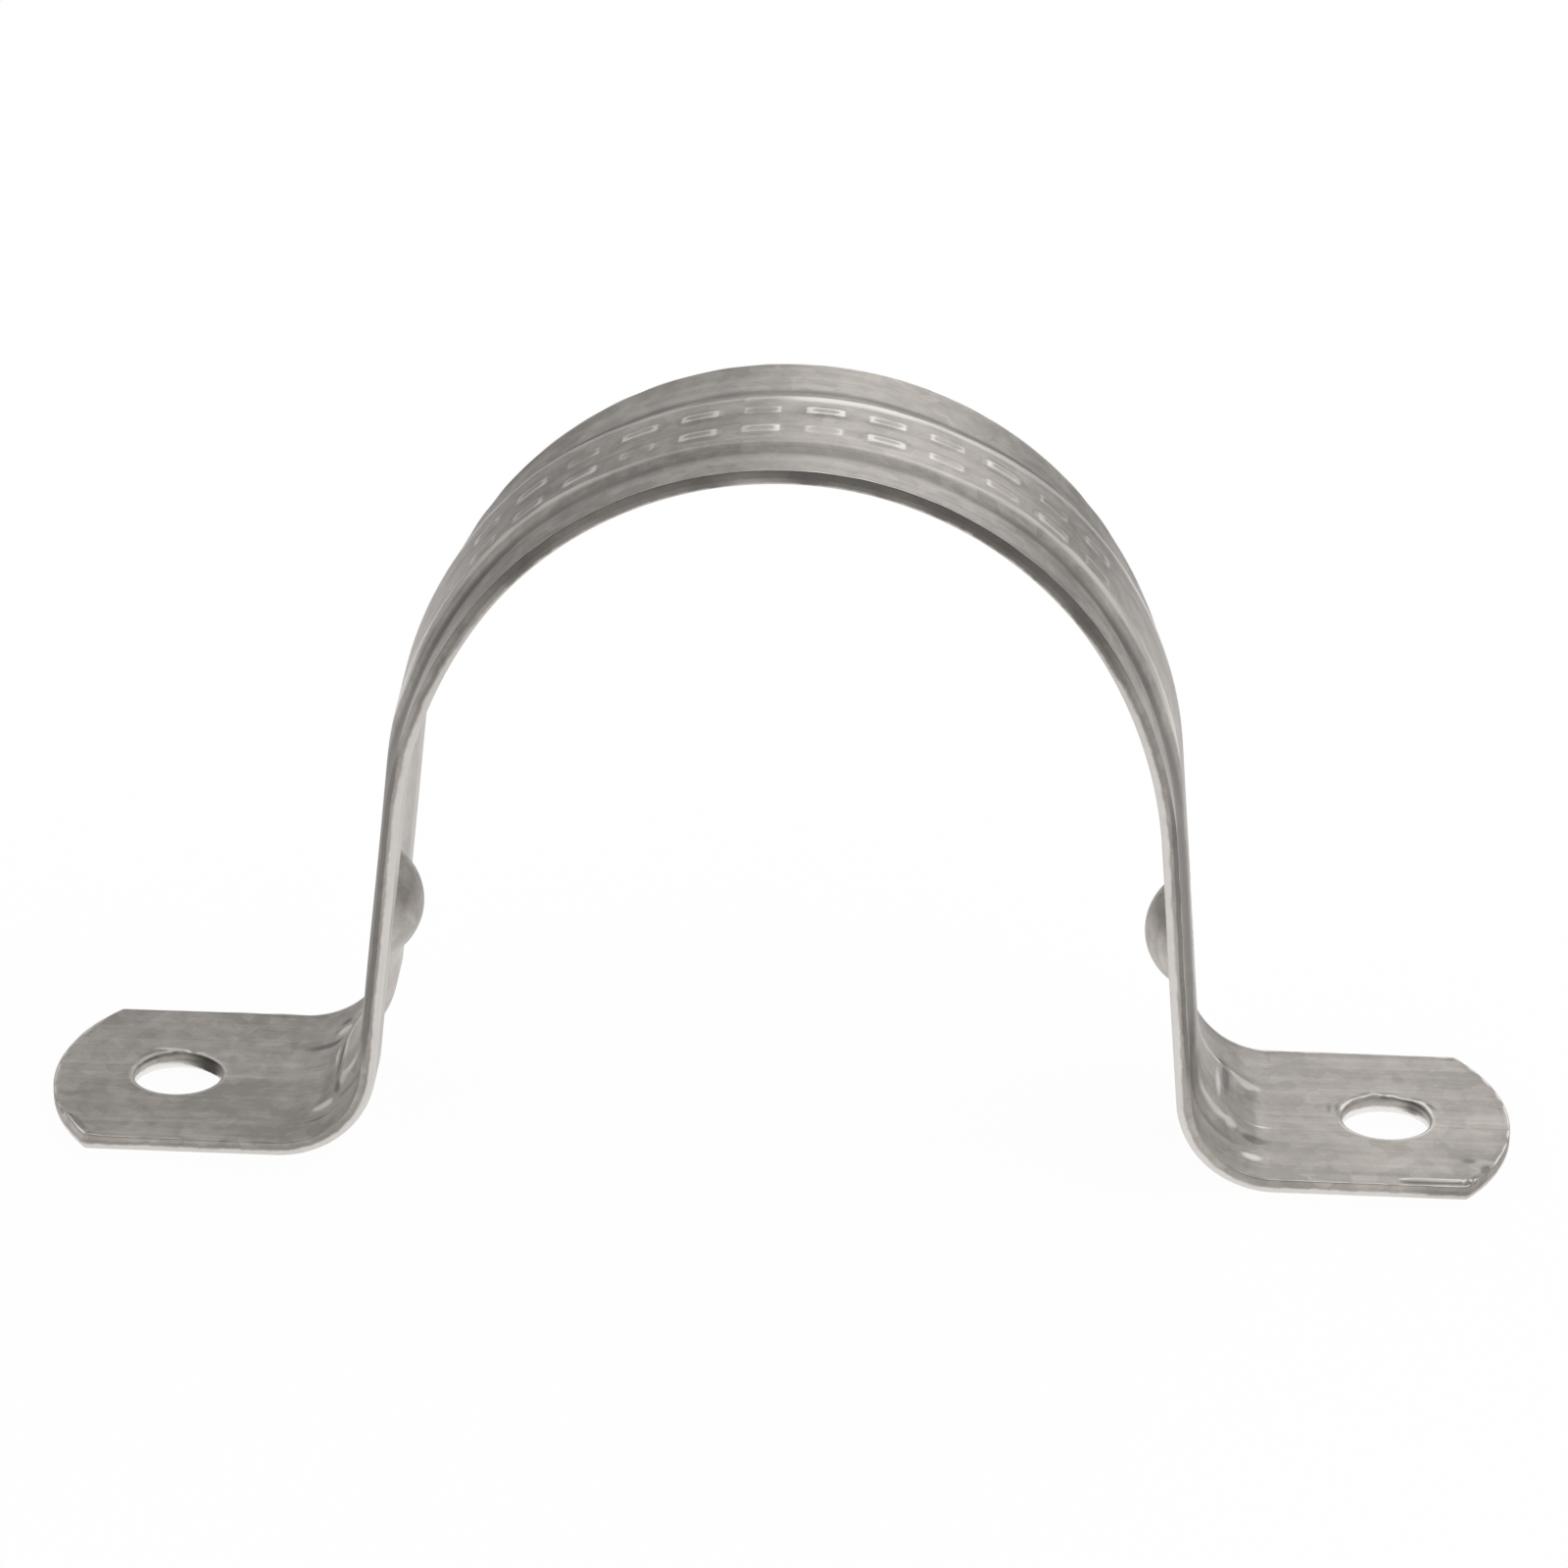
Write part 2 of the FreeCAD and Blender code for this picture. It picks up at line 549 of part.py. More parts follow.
hole_x = foot_bend[0] + size("hole_setback")
hole_sketch = new_sketch("hole_outline", "XY_Plane")
ring = hole_sketch.addGeometry(Part.Circle(V(hole_x, 0, 0), UP, size("hole_diameter") / 2), False)
rule(hole_sketch, "PointOnObject", ring, CENTRE, X_AXIS)
dimension(hole_sketch, "place", "side_profile.Constraints.foot_start + sizes.hole_setback * 1 mm",
          "DistanceX", *ORIGIN, ring, CENTRE, hole_x)
dimension(hole_sketch, "bore", "sizes.hole_diameter * 1 mm", "Diameter", ring, size("hole_diameter"))
hole = strap.newObject("PartDesign::Pocket", "screw_hole")
hole.Profile = hole_sketch
hole.Type = "Length"
hole.Reversed = True
hole.setExpression("Length", "2 * sizes.sheet_thickness * 1 mm")
doc.recompute()


def is_hole_lip(edge):
    """The hole's upper rim."""
    spots = points_along(edge)
    middle = V(hole_x, 0, thickness)
    return all(same(p.distanceToPoint(middle), size("hole_diameter") / 2) for p in spots)


hole_lip = strap.newObject("PartDesign::Chamfer", "hole_lip")
hole_lip.Base = (hole, edges_where(hole, is_hole_lip))
hole_lip.setExpression("Size", "sizes.hole_lip * 1 mm")
doc.recompute()

# --- the other half ----------------------------------------------------------------------------

both = strap.newObject("PartDesign::Mirrored", "both_halves")
both.TransformMode = "Whole shape"
both.MirrorPlane = (plane("YZ_Plane"), [""])
strap.Tip = both
doc.recompute()

# --- check and write ---------------------------------------------------------------------------

for item in doc.Objects:
    if "Invalid" in item.State or "Error" in item.State:
        raise RuntimeError("%s did not build" % item.Name)
if strap.Shape.isNull() or not strap.Shape.isValid() or len(strap.Shape.Solids) != 1:
    raise RuntimeError("the strap is not one valid solid")

os.makedirs("parts", exist_ok=True)
strap.Shape.exportStep("parts/%s.step" % strap.Label)

top = saddle_centre[1] + saddle + thickness + size("rib_rise_crown")
print("size %.2f x %.2f x %.2f mm" % (2 * foot_tip, 2 * half_width, top))
print("holes %.2f mm apart, volume %.0f mm3" % (2 * hole_x, strap.Shape.Volume))
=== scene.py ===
import json
import math

import bpy
import numpy as np
from bpy.props import FloatProperty, FloatVectorProperty, IntProperty, PointerProperty
from mathutils import Matrix, Vector


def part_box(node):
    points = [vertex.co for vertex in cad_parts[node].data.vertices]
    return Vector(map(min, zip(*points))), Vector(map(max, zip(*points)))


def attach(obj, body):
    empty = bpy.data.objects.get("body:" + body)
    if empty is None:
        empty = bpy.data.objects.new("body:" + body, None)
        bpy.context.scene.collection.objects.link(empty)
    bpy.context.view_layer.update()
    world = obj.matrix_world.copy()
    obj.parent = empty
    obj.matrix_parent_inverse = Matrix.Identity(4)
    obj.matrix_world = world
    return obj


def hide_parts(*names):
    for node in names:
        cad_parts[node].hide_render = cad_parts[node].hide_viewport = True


bl_info = {
    "name": "Conduit Strap",
    "version": (1, 0, 0),
    "blender": (4, 5, 0),
    "location": "3D View > Sidebar > Strap",
    "description": "A galvanised conduit strap and the stage it stands on",
    "category": "Object",
}

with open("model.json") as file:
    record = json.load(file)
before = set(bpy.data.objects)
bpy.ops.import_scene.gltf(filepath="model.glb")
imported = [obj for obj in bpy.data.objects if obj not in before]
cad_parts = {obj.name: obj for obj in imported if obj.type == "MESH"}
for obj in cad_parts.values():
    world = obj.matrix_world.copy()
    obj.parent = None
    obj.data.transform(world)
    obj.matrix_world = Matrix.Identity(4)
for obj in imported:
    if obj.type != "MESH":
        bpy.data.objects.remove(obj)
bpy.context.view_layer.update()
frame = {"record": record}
MM = 0.001
PIECE = "strap_sheet"
MOUNTS = {mount["name"]: mount for mount in frame["record"]["mounts"]}
LOW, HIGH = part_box("strap")
SADDLE_RADIUS = MOUNTS["saddle"]["dims"]["r_mm"] * MM
SADDLE_HEIGHT = MOUNTS["saddle"]["pos_m"][2]
HOLE_REACH = MOUNTS["screw_holes"]["dims"]["spacing_x_mm"] / 2 * MM
HOLE_RADIUS = MOUNTS["screw_holes"]["dims"]["hole_r_mm"] * MM
SHEET = 1.25 * MM


# --- what a user would change --------------------------------------------------------------------


def length(name, description, default):
    """A setting in metres."""
    return FloatProperty(name=name, description=description, default=default, unit="LENGTH", precision=5)


def turn(name, description, degrees):
    """A setting that is an angle."""
    return FloatProperty(name=name, description=description, default=math.radians(degrees), subtype="ANGLE")


def share(name, description, default):
    """A setting between nothing and all."""
    return FloatProperty(name=name, description=description, default=default, min=0.0, max=1.0,
                         subtype="FACTOR")


def amount(name, description, default):
    """A setting that is a plain number."""
    return FloatProperty(name=name, description=description, default=default, min=0.0)


def spot(name, description, default):
    """A setting that is a point in space."""
    return FloatVectorProperty(name=name, description=description, default=default, size=3,
                               subtype="TRANSLATION")


def colour(name, description, default):
    """A colour setting."""
    return FloatVectorProperty(name=name, description=description, default=default, size=3, subtype="COLOR")


class StrapSizes(bpy.types.PropertyGroup):
    """Sizes of the bent sheet; the ones that the solid gives are read from it."""

    saddle_radius: length("Saddle radius", "Inside radius of the arch over the conduit", SADDLE_RADIUS)
    saddle_height: length("Saddle height", "Conduit axis above the wall", SADDLE_HEIGHT)
    saddle_half_angle: turn("Saddle half angle", "From the crown to where the arch opens out", 55.0)
    shoulder_radius: length("Shoulder radius", "Inside radius below the saddle", 36.8 * MM)
    leg_splay: turn("Leg splay", "Lean of each leg from upright", 5.3)
    bend_radius: length("Bend radius", "Inside radius of the foot bend", 7.3 * MM)
    strip_width: length("Strip width", "Width of the strip", HIGH.y - LOW.y)
    thickness: length("Sheet thickness", "Thickness of the sheet", SHEET)
    foot_reach: length("Foot reach", "From the middle to the foot's tip", HIGH.x)
    end_radius: length("End radius", "Arc of the foot's end", 20.5 * MM)
    corner_radius: length("Corner radius", "Rounding of the foot's corners", 0.5 * MM)
    hole_reach: length("Hole reach", "From the middle to the screw hole", HOLE_REACH)
    hole_radius: length("Hole radius", "Radius of the screw hole", HOLE_RADIUS)
    rolled_edge: length("Rolled edge", "Rounding of the inner face's edges", 0.4 * MM)
    sharp_edge: length("Sharp edge", "Rounding of the outer face's edges", 0.07 * MM)
    hole_lip: length("Hole lip", "Bevel of the screw hole's upper rim", 0.2 * MM)


class ReliefSizes(bpy.types.PropertyGroup):
    """Sizes of what is pressed into the sheet."""

    rib_half: length("Rib half width", "From the middle of the rib to the foot of its flank", 7.25 * MM)
    rib_flank: length("Rib flank", "Width of each flank of the rib", 2.6 * MM)
    rib_shift: length("Rib shift", "How far the rib lies to the front at the crown", 1.2 * MM)
    shift_fade: length("Shift fade", "How far the shift stays, and then how far it dies out", 12 * MM)
    rise_crown: length("Rise at the crown", "Rise of the rib at the crown",
                       HIGH.z - SADDLE_HEIGHT - SADDLE_RADIUS - SHEET)
    rise_leg: length("Rise on the legs", "Rise of the rib on the legs", 0.75 * MM)
    rib_bend: length("Rib bend", "Radius of the rib's crest in the foot bend", 6.6 * MM)
    runout: turn("Run-out", "Slope at which the rib runs out on the foot", 20.0)
    dimple_height: length("Dimple height", "Dimple above the wall", 18.1 * MM)
    dimple_reach: length("Dimple reach", "How far the dimple stands in from the leg", 2.0 * MM)
    dimple_radius: length("Dimple radius", "Radius of the dimple's dome", 5.3 * MM)
    left_end: length("Left end", "From the foot's flat back to the end of the left rib", 3.5 * MM)
    right_end: length("Right end", "From the foot's flat back to the end of the right rib", 1.5 * MM)
    end_fade: length("End fade", "Way over which the end of the rib rises", 4 * MM)
    dimple_rim: length("Dimple rim", "Softness of the dimple's rim", 0.4 * MM)
    mark_count: IntProperty(name="Marks", description="Raised marks in each row along the crown",
                            default=12, min=0)
    mark_pitch: length("Mark pitch", "From one mark to the next", 4.9 * MM)
    mark_length: length("Mark length", "Length of a mark", 3.2 * MM)
    mark_width: length("Mark width", "Width of a mark", 1.7 * MM)
    mark_rows: length("Mark rows", "From one row of marks to the other", 4.2 * MM)
    mark_shift: length("Mark shift", "Middle of the two rows, behind the strip's middle", -1.5 * MM)
    mark_rise: length("Mark rise", "Height of a mark", 0.13 * MM)
    mark_rim: length("Mark rim", "Width of the slope round a mark", 0.8 * MM)
    waviness: length("Waviness", "Height of the sheet's slight waves", 0.03 * MM)


class FinishSettings(bpy.types.PropertyGroup):
    """Colours and wear of the zinc, with the colours that paint its highlights and shade."""

    zinc: colour("Zinc", "Colour of the dulled zinc", (0.36, 0.335, 0.309))
    pale_zinc: colour("Pale zinc", "Colour of the fresher patches", (0.62, 0.577, 0.535))
    # Also the colour of painted highlights along the rib and on the feet.
    burnished: colour("Burnished", "Colour of rubbed and freshly cut zinc", (0.97, 0.95, 0.92))
    # Also the colour of painted shade on the cut edges: all along the crown and on one side of the left
    # hole.
    cut_steel: colour("Cut steel", "Colour of the torn part of the cut edge", (0.10, 0.092, 0.085))
    # Also the colour of painted shade along folds, on the legs and in dents.
    grime: colour("Grime", "Colour of the dust along folds and in dents", (0.16, 0.15, 0.14))
    roughness: share("Roughness", "Roughness of the zinc", 0.42)
    spangle: share("Spangle", "Contrast of the zinc's crystals", 0.35)
    streaks: share("Streaks", "Contrast of the lines along the strip", 0.7)


class StageSettings(bpy.types.PropertyGroup):
    """Camera, floor and light."""

    azimuth: turn("Azimuth", "Camera to the right of the front", 2.12)
    elevation: turn("Elevation", "Camera above the horizon", 23.97)
    roll: turn("Roll", "Camera turned about its line of sight", 1.17)
    distance: length("Distance", "Camera to the point it looks at", 0.554675)
    aim: spot("Aim", "Point that the camera looks at", (-0.218 * MM, 0.0, 30.421 * MM))
    lens: FloatProperty(name="Lens", description="Focal length on a 36 mm sensor", default=152.31,
                        unit="CAMERA")
    floor: colour("Floor", "Colour of the floor", (0.86, 0.86, 0.86))
    floor_size: length("Floor size", "Side of the square floor", 0.9)
    floor_own: share("Floor's own white", "How much of the floor is its own white to the camera", 0.86)
    floor_glow: amount("Floor glow", "Brightness of that white", 1.09)
    horizon: amount("Horizon", "Brightness of the room at floor level", 0.2)
    window: amount("Window", "Brightness of the bright band round the room", 0.8)
    wall: amount("Wall", "Brightness of the room's walls above it", 0.576)
    ceiling: amount("Ceiling", "Brightness of the room overhead", 0.32)
    side: amount("Side light", "How much brighter the right is than the left", 0.12)
    softbox: FloatProperty(name="Softbox", description="Power of the softbox", default=0.115, unit="POWER")
    softbox_size: length("Softbox size", "Side of the square softbox", 0.22)
    softbox_place: spot("Softbox place", "Middle of the softbox", (0.07, 0.38, 0.25))


# --- the line of the sheet -----------------------------------------------------------------------


class SheetLine:
    """The strap's inner face seen from the front, from the crown to the foot.

    It is a chain of straight and round pieces, each with a length and a curvature, found by the way
    gone along it.  Ways left of the crown are negative and mirror those to the right.
    """

    def __init__(self, sizes):
        self.sheet = sizes.thickness
        splay = sizes.leg_splay
        saddle, shoulder = sizes.saddle_radius, sizes.shoulder_radius
        under_bend = sizes.bend_radius + self.sheet
        shoulder_turn = math.pi / 2 - splay - sizes.saddle_half_angle
        leg_top = (sizes.saddle_height + (saddle - shoulder) * math.cos(sizes.saddle_half_angle)
                   + shoulder * math.sin(splay))
        leg_foot = under_bend * (1 - math.sin(splay))
        leg = (leg_top - leg_foot) / math.cos(splay)
        self.curvature = np.array([-1 / saddle, -1 / shoulder, 0.0, 1 / under_bend, 0.0])
        spans = [saddle * sizes.saddle_half_angle, shoulder * shoulder_turn, leg,
                 under_bend * (math.pi / 2 - splay)]
        self.ways = np.concatenate([[0.0], np.cumsum(spans)])
        self.headings = np.concatenate([[0.0], np.cumsum(spans * self.curvature[:4])])
        self.starts = np.array([[0.0], [sizes.saddle_height + saddle]])
        for k, span in enumerate(spans):
            step = self.chord(span, self.headings[k], self.curvature[k])
            self.starts = np.hstack([self.starts, self.starts[:, -1:] + np.reshape(step, (2, 1))])
        self.leg_way, self.bend_way, self.foot_way = self.ways[2:5]
        self.leg_top = leg_top
        self.foot_start = self.starts[0, 4]

    @staticmethod
    def chord(way, heading, curvature):
        """Step made by going a way along an arc.

        Its length is the way times sin(half the turn) over half the turn, and its direction is the
        heading at half way.
        """
        half = way * curvature / 2
        size = way * np.sinc(half / math.pi)
        return size * np.cos(heading + half), size * np.sin(heading + half)

    def at(self, way):
        """Point and heading at each way, as a pair of rows and a row."""
        side = np.where(way < 0, -1.0, 1.0)
        gone = np.abs(way)
        k = np.clip(np.searchsorted(self.ways, gone, side="right") - 1, 0, 4)
        step = self.chord(gone - self.ways[k], self.headings[k], self.curvature[k])
        x = self.starts[0, k] + step[0]
        z = self.starts[1, k] + step[1]
        heading = self.headings[k] + (gone - self.ways[k]) * self.curvature[k]
        return np.stack([side * x, z]), side * heading

    def place(self, way, across, height):
        """Points in space: along the line, across the strip, and out from the inner face."""
        point, heading = self.at(way)
        x = point[0] - height * np.sin(heading)
        z = point[1] + height * np.cos(heading)
        return np.stack([x, across, z], axis=-1)


# --- what is pressed into the sheet --------------------------------------------------------------


def soft_positive(value, softness):
    """The value where it is above nothing, else nothing: (v + sqrt(v^2 + k^2)) / 2."""
    return (value + np.sqrt(value * value + softness * softness)) / 2


def soft_lower(one, other, softness):
    """The lower of two surfaces with a rounded join between them."""
    return one - soft_positive(one - other, softness)


def bell(value, width):
    """A bump of height one: exp(-(value / width)^2)."""
    return np.exp(-(value / width) ** 2)


def smooth_step(value):
    """Nothing below 0, one above 1, and 3v^2 - 2v^3 between."""
    inside = np.clip(value, 0.0, 1.0)
    return inside * inside * (3 - 2 * inside)


def ripple(one, other, seed):
    """A gentle unevenness between -1 and 1: a mean of crossed sine waves."""
    total = np.zeros(np.broadcast(one, other).shape)
    for k in range(1, 5):
        angle = seed + 2.4 * k
        scale = 1.0 + 0.63 * k
        total = total + np.sin(scale * (one * math.cos(angle) + other * math.sin(angle)) + 1.7 * seed * k)
    return total / 4


# Side, place from the start of the foot's flat and across, size along and across, height, in mm.
PINCHES = (
    (-1, -3.1, 5.6, 2.0, 0.50, -0.26),
    (-1, -6.3, 4.7, 0.9, 0.60, -0.24),
    (-1, -5.0, 7.2, 1.0, 0.80, 0.28),
    (-1, -4.8, 9.2, 0.8, 0.60, -0.17),
    (-1, -5.7, 0.5, 0.40, 3.2, -0.20),
    (-1, -4.9, 2.0, 0.40, 1.6, 0.10),
    (-1, -6.6, 1.0, 0.45, 1.5, 0.12),
    (-1, -6.1, -5.1, 0.6, 1.0, -0.25),
    (-1, -4.5, -6.9, 1.3, 0.80, 0.32),
    (-1, -3.9, -8.9, 1.5, 0.50, -0.13),
    (-1, 0.5, 6.5, 0.6, 1.6, -0.06),
    (1, -2.4, 4.4, 1.4, 1.2, 0.32),
    (1, -5.4, 3.2, 0.8, 4.0, -0.30),
    (1, -6.9, 0.0, 0.7, 3.0, 0.14),
    (1, -1.8, -2.6, 1.6, 0.40, 0.10),
    (1, -2.0, -5.2, 1.8, 0.80, -0.24),
    (1, -2.3, -8.6, 1.3, 0.80, 0.20),
    (1, 16.4, -7.3, 0.8, 0.60, -0.16),
    (1, 17.8, -8.8, 0.6, 0.80, -0.22),
    (1, 17.6, -11.0, 0.7, 0.80, 0.26),
    (1, 8.8, 4.5, 0.6, 0.65, 0.22),
    (1, 12.7, 3.1, 0.6, 0.50, 0.18),
    (1, 5.6, 1.0, 0.25, 1.3, -0.12),
    (1, 4.9, 1.6, 0.25, 1.1, -0.08),
    (-1, 10.8, 4.6, 1.5, 0.45, 0.20),
    (-1, 18.3, -10.4, 0.8, 1.2, 0.36),
)


# How strongly parts of the faces get painted highlights and painted shade: these count like sharpness of a
# fold.
LEFT_SHOULDER_HIGHLIGHT, RIGHT_SHOULDER_HIGHLIGHT, BORDER_HIGHLIGHT = 0.02, 0.045, 0.035
FLANK_FOOT_SHADE, LEFT_LEG_SHADE, RIGHT_LEG_SHADE = 0.05, 0.17, 0.11
SWELLING_HIGHLIGHT, DENT_SHADE = 0.14, 0.25
INNER_PALENESS, DOME_SHADE = 0.022, 0.065
PAINTED_LIGHT_END = 44 * MM

# How much of the cut edge is dark, as torn steel and as painted shade; the crown's is wholly so.
LEG_TORN_AND_SHADE, LEFT_FOOT_TORN_AND_SHADE, RIGHT_FOOT_TORN_AND_SHADE, RIGHT_TIP_TORN_AND_SHADE = 0.15, 0.42, 0.15, 0.65


class Relief:
    """Heights of the two faces over the sheet's inner line."""

    def __init__(self, line, sizes, relief):
        self.line, self.sizes, self.relief = line, sizes, relief
        self.sheet = sizes.thickness
        splay = sizes.leg_splay
        saddle, shoulder = sizes.saddle_radius, sizes.shoulder_radius
        reach = (shoulder + (saddle - shoulder) * math.sin(sizes.saddle_half_angle + splay)
                 + self.sheet + relief.rise_leg)
        crown = saddle + self.sheet + relief.rise_crown
        drop = (reach - crown) / (1 - math.sin(splay))
        self.arch = (np.array([0.0, sizes.saddle_height - drop]), crown + drop)
        level = sizes.bend_radius + self.sheet
        rise = (level - sizes.saddle_height) * math.sin(splay)
        out = (reach + relief.rib_bend - rise) / math.cos(splay)
        self.bend = (np.array([out, level]), relief.rib_bend)
        self.leg_normal = np.array([math.cos(splay), math.sin(splay)])
        self.tail_normal = np.array([math.sin(relief.runout), math.cos(relief.runout)])
        self.tail = self.bend[0] - self.bend[1] * self.tail_normal
        self.tail_way = line.foot_way - relief.runout / line.curvature[3]
        self.dimple_way = line.leg_way + (line.leg_top - relief.dimple_height) / math.cos(splay)
        self.hole_way = line.foot_way + sizes.hole_reach - line.foot_start
        self.tip_way = line.foot_way + sizes.foot_reach - line.foot_start
        self.end_way = self.tip_way - sizes.end_radius

    def crest(self, way):
        """Rise of the rib's crest line over the face.

        Along the arch and in the foot bend the crest is a circle, met by going out along the
        face's normal: -b +- sqrt(b^2 - c), where b is the offset from the circle's centre along the
        normal and c is its square less the radius squared.  Between the places where the two circles
        touch the leg's straight crest, and on the foot, it is a straight line.
        """
        gone = np.abs(way)
        point, heading = self.line.at(gone)
        normal = np.stack([-np.sin(heading), np.cos(heading)])
        start = point + self.sheet * normal

        def to_circle(circle, side):
            offset = start - circle[0][:, None]
            b = np.sum(offset * normal, axis=0)
            c = np.sum(offset * offset, axis=0) - circle[1] ** 2
            return -b + side * np.sqrt(np.maximum(b * b - c, 0.0))

        def to_line(spot, across_line):
            return across_line @ (spot[:, None] - start) / np.maximum(across_line @ normal, 0.1)

        on_tail = to_line(self.tail, self.tail_normal)
        on_arch, on_bend = to_circle(self.arch, 1), to_circle(self.bend, -1)
        touch = self.arch[0] + self.arch[1] * self.leg_normal
        rise = np.where((start + on_arch * normal)[1] > touch[1], on_arch, to_line(touch, self.leg_normal))
        leaves = (self.bend[0] - self.bend[1] * self.leg_normal)[1]
        in_bend = (gone > self.line.bend_way - MM) & ((start + rise * normal)[1] < leaves)
        rise = np.where(in_bend, on_bend, rise)
        return np.maximum(np.where(gone > self.tail_way, on_tail, rise), 0.0)

    def from_rib(self, way, across):
        """Place across the strip from the rib's own middle, which lies to the front at the crown."""
        gone = smooth_step(np.abs(way) / self.relief.shift_fade - 1)
        return across + self.relief.rib_shift * (1 - gone)

    def rib(self, way, across):
        """Rise of the rib: its crest times a smooth step up each flank and one at each end."""
        relief = self.relief
        gone = np.abs(way)
        flank = smooth_step((relief.rib_half - np.abs(self.from_rib(way, across))) / relief.rib_flank)
        end = self.line.foot_way - np.where(way < 0, relief.left_end, relief.right_end)
        return self.crest(way) * flank * smooth_step((end - gone) / relief.end_fade)

    def rub(self, way, across):
        """Painted highlights along the rib, above nothing, and painted shade along it, below nothing.

        The shoulder of its back flank and, right of the crown, the border before it get painted highlights.
        The feet of both flanks get painted shade, and on the legs the whole front flank does.  Swellings
        of the feet get painted highlights and dents get painted shade.
        """
        relief = self.relief
        behind = self.from_rib(way, across) - relief.rib_half
        before = -self.from_rib(way, across) - relief.rib_half
        on_arch = smooth_step((PAINTED_LIGHT_END - np.abs(way)) / (10 * MM))
        uneven = 0.75 + 0.35 * ripple(way / (2.5 * MM), across * 0, 1.7)
        more_right = np.where(way > -4 * MM, RIGHT_SHOULDER_HIGHLIGHT, LEFT_SHOULDER_HIGHLIGHT)
        # Painted highlights on the back shoulder, stronger right of the crown, and on the front border.
        shoulder = more_right * bell(behind + relief.rib_flank + 0.3 * MM, 0.65 * MM)
        border = BORDER_HIGHLIGHT * bell(before - 1.7 * MM, 0.6 * MM) * bell(way - 13 * MM, 9 * MM)
        # Painted shade along the feet of both flanks, and over the legs' front flanks.
        painted_shade = bell(behind + 0.3 * MM, 1.0 * MM) + 0.6 * bell(before + 0.3 * MM, 0.8 * MM)
        shade = self.leg_dust(way) * bell(before + 1.2 * MM, 1.4 * MM)
        # Swellings of the feet get painted highlights, and dents get painted shade.
        pinches = self.pinches(way, across) / MM
        marked = np.where(pinches > 0, SWELLING_HIGHLIGHT, DENT_SHADE) * pinches
        return on_arch * uneven * (shoulder + border - FLANK_FOOT_SHADE * painted_shade) - shade + marked

    def leg_dust(self, way):
        """Painted shade on the outsides of the legs, more on the left one."""
        gone = np.abs(way)
        begins = smooth_step((gone - 38 * MM) / (12 * MM))
        ends = smooth_step((self.line.bend_way + 2 * MM - gone) / (10 * MM))
        return begins * ends * np.where(way < 0, LEFT_LEG_SHADE, RIGHT_LEG_SHADE)

    def inner_rub(self, way, across):
        """The inner face is painted a little paler all over, and the tops of the domes get painted shade.
        """
        away = np.hypot(np.abs(way) - self.dimple_way + 2.2 * MM, across)
        return INNER_PALENESS - DOME_SHADE * bell(away, 2.0 * MM)

    def marks(self, way, across):
        """Two rows of plain raised bars along the crown.

        A bar is a soft step on the distance from a rectangle with rounded corners.
        """
        relief = self.relief
        number = np.floor(way / relief.mark_pitch)
        rounding = relief.mark_width / 3
        along = np.abs(way - (number + 0.5) * relief.mark_pitch) - relief.mark_length / 2 + rounding
        beside = np.abs(np.abs(across - relief.mark_shift) - relief.mark_rows / 2)
        beside = beside - relief.mark_width / 2 + rounding
        gap = np.hypot(np.maximum(along, 0.0), np.maximum(beside, 0.0)) - rounding
        present = np.abs(number + 0.5) < relief.mark_count / 2
        worn = 0.75 + 0.25 * np.sin(2.3 * number + np.sign(across - relief.mark_shift))
        return relief.mark_rise * worn * present * smooth_step(0.5 - gap / relief.mark_rim)

    def torn(self, way, across):
        """How much of a cut edge is dark, as torn steel and as painted shade: all of it at the crown, least
        on the legs.

        In the left hole it is the side next to the arch, in the right one only a short piece.
        """
        gone = np.abs(way)
        from_hole = (gone - self.hole_way) * np.sign(way)
        at_hole = np.hypot(from_hole, across) < self.sizes.hole_radius + 0.5 * MM
        towards = np.arctan2(across, from_hole) - math.radians(50)
        in_hole = np.where(way < 0, bell(towards, 0.75), 0.7 * bell(towards, 0.3))
        on_leg = smooth_step((gone - 24 * MM) / (24 * MM))
        on_foot = smooth_step((gone - self.line.bend_way) / (10 * MM))
        near_tip = smooth_step((gone - self.hole_way) / (4 * MM))
        right_foot = RIGHT_FOOT_TORN_AND_SHADE + (RIGHT_TIP_TORN_AND_SHADE - RIGHT_FOOT_TORN_AND_SHADE) * near_tip
        foot = np.where(way < 0, LEFT_FOOT_TORN_AND_SHADE, right_foot)
        along_edge = 1 - (1 - LEG_TORN_AND_SHADE) * on_leg + on_foot * (foot - LEG_TORN_AND_SHADE)
        return np.where(at_hole, in_hole, along_edge)

    def edge_gap(self, way, across):
        """Distance to the nearest side or end of the strip, measured on the flat."""
        side = self.sizes.strip_width / 2 - np.abs(across)
        end = self.sizes.end_radius - np.hypot(np.abs(way) - self.end_way, across)
        return np.where(np.abs(way) > self.end_way, np.minimum(side, end), side)

    def hole_burr(self, way, across):
        """Raised lip round the screw hole, highest towards the back on the crown's side."""
        from_hole = np.abs(way) - self.hole_way
        ring = np.hypot(from_hole, across) - self.sizes.hole_radius
        angle = np.arctan2(across, from_hole * np.sign(way))
        lean = bell(angle - math.radians(105), 0.6) + (way > 0) * bell(angle - math.radians(42), 0.3)
        rough = 1 + 0.9 * ripple(way / (0.8 * MM), across / (0.8 * MM), 2.9)
        return MM * bell(ring - 0.35 * MM, 0.35 * MM) * (0.03 + 0.2 * lean * rough)

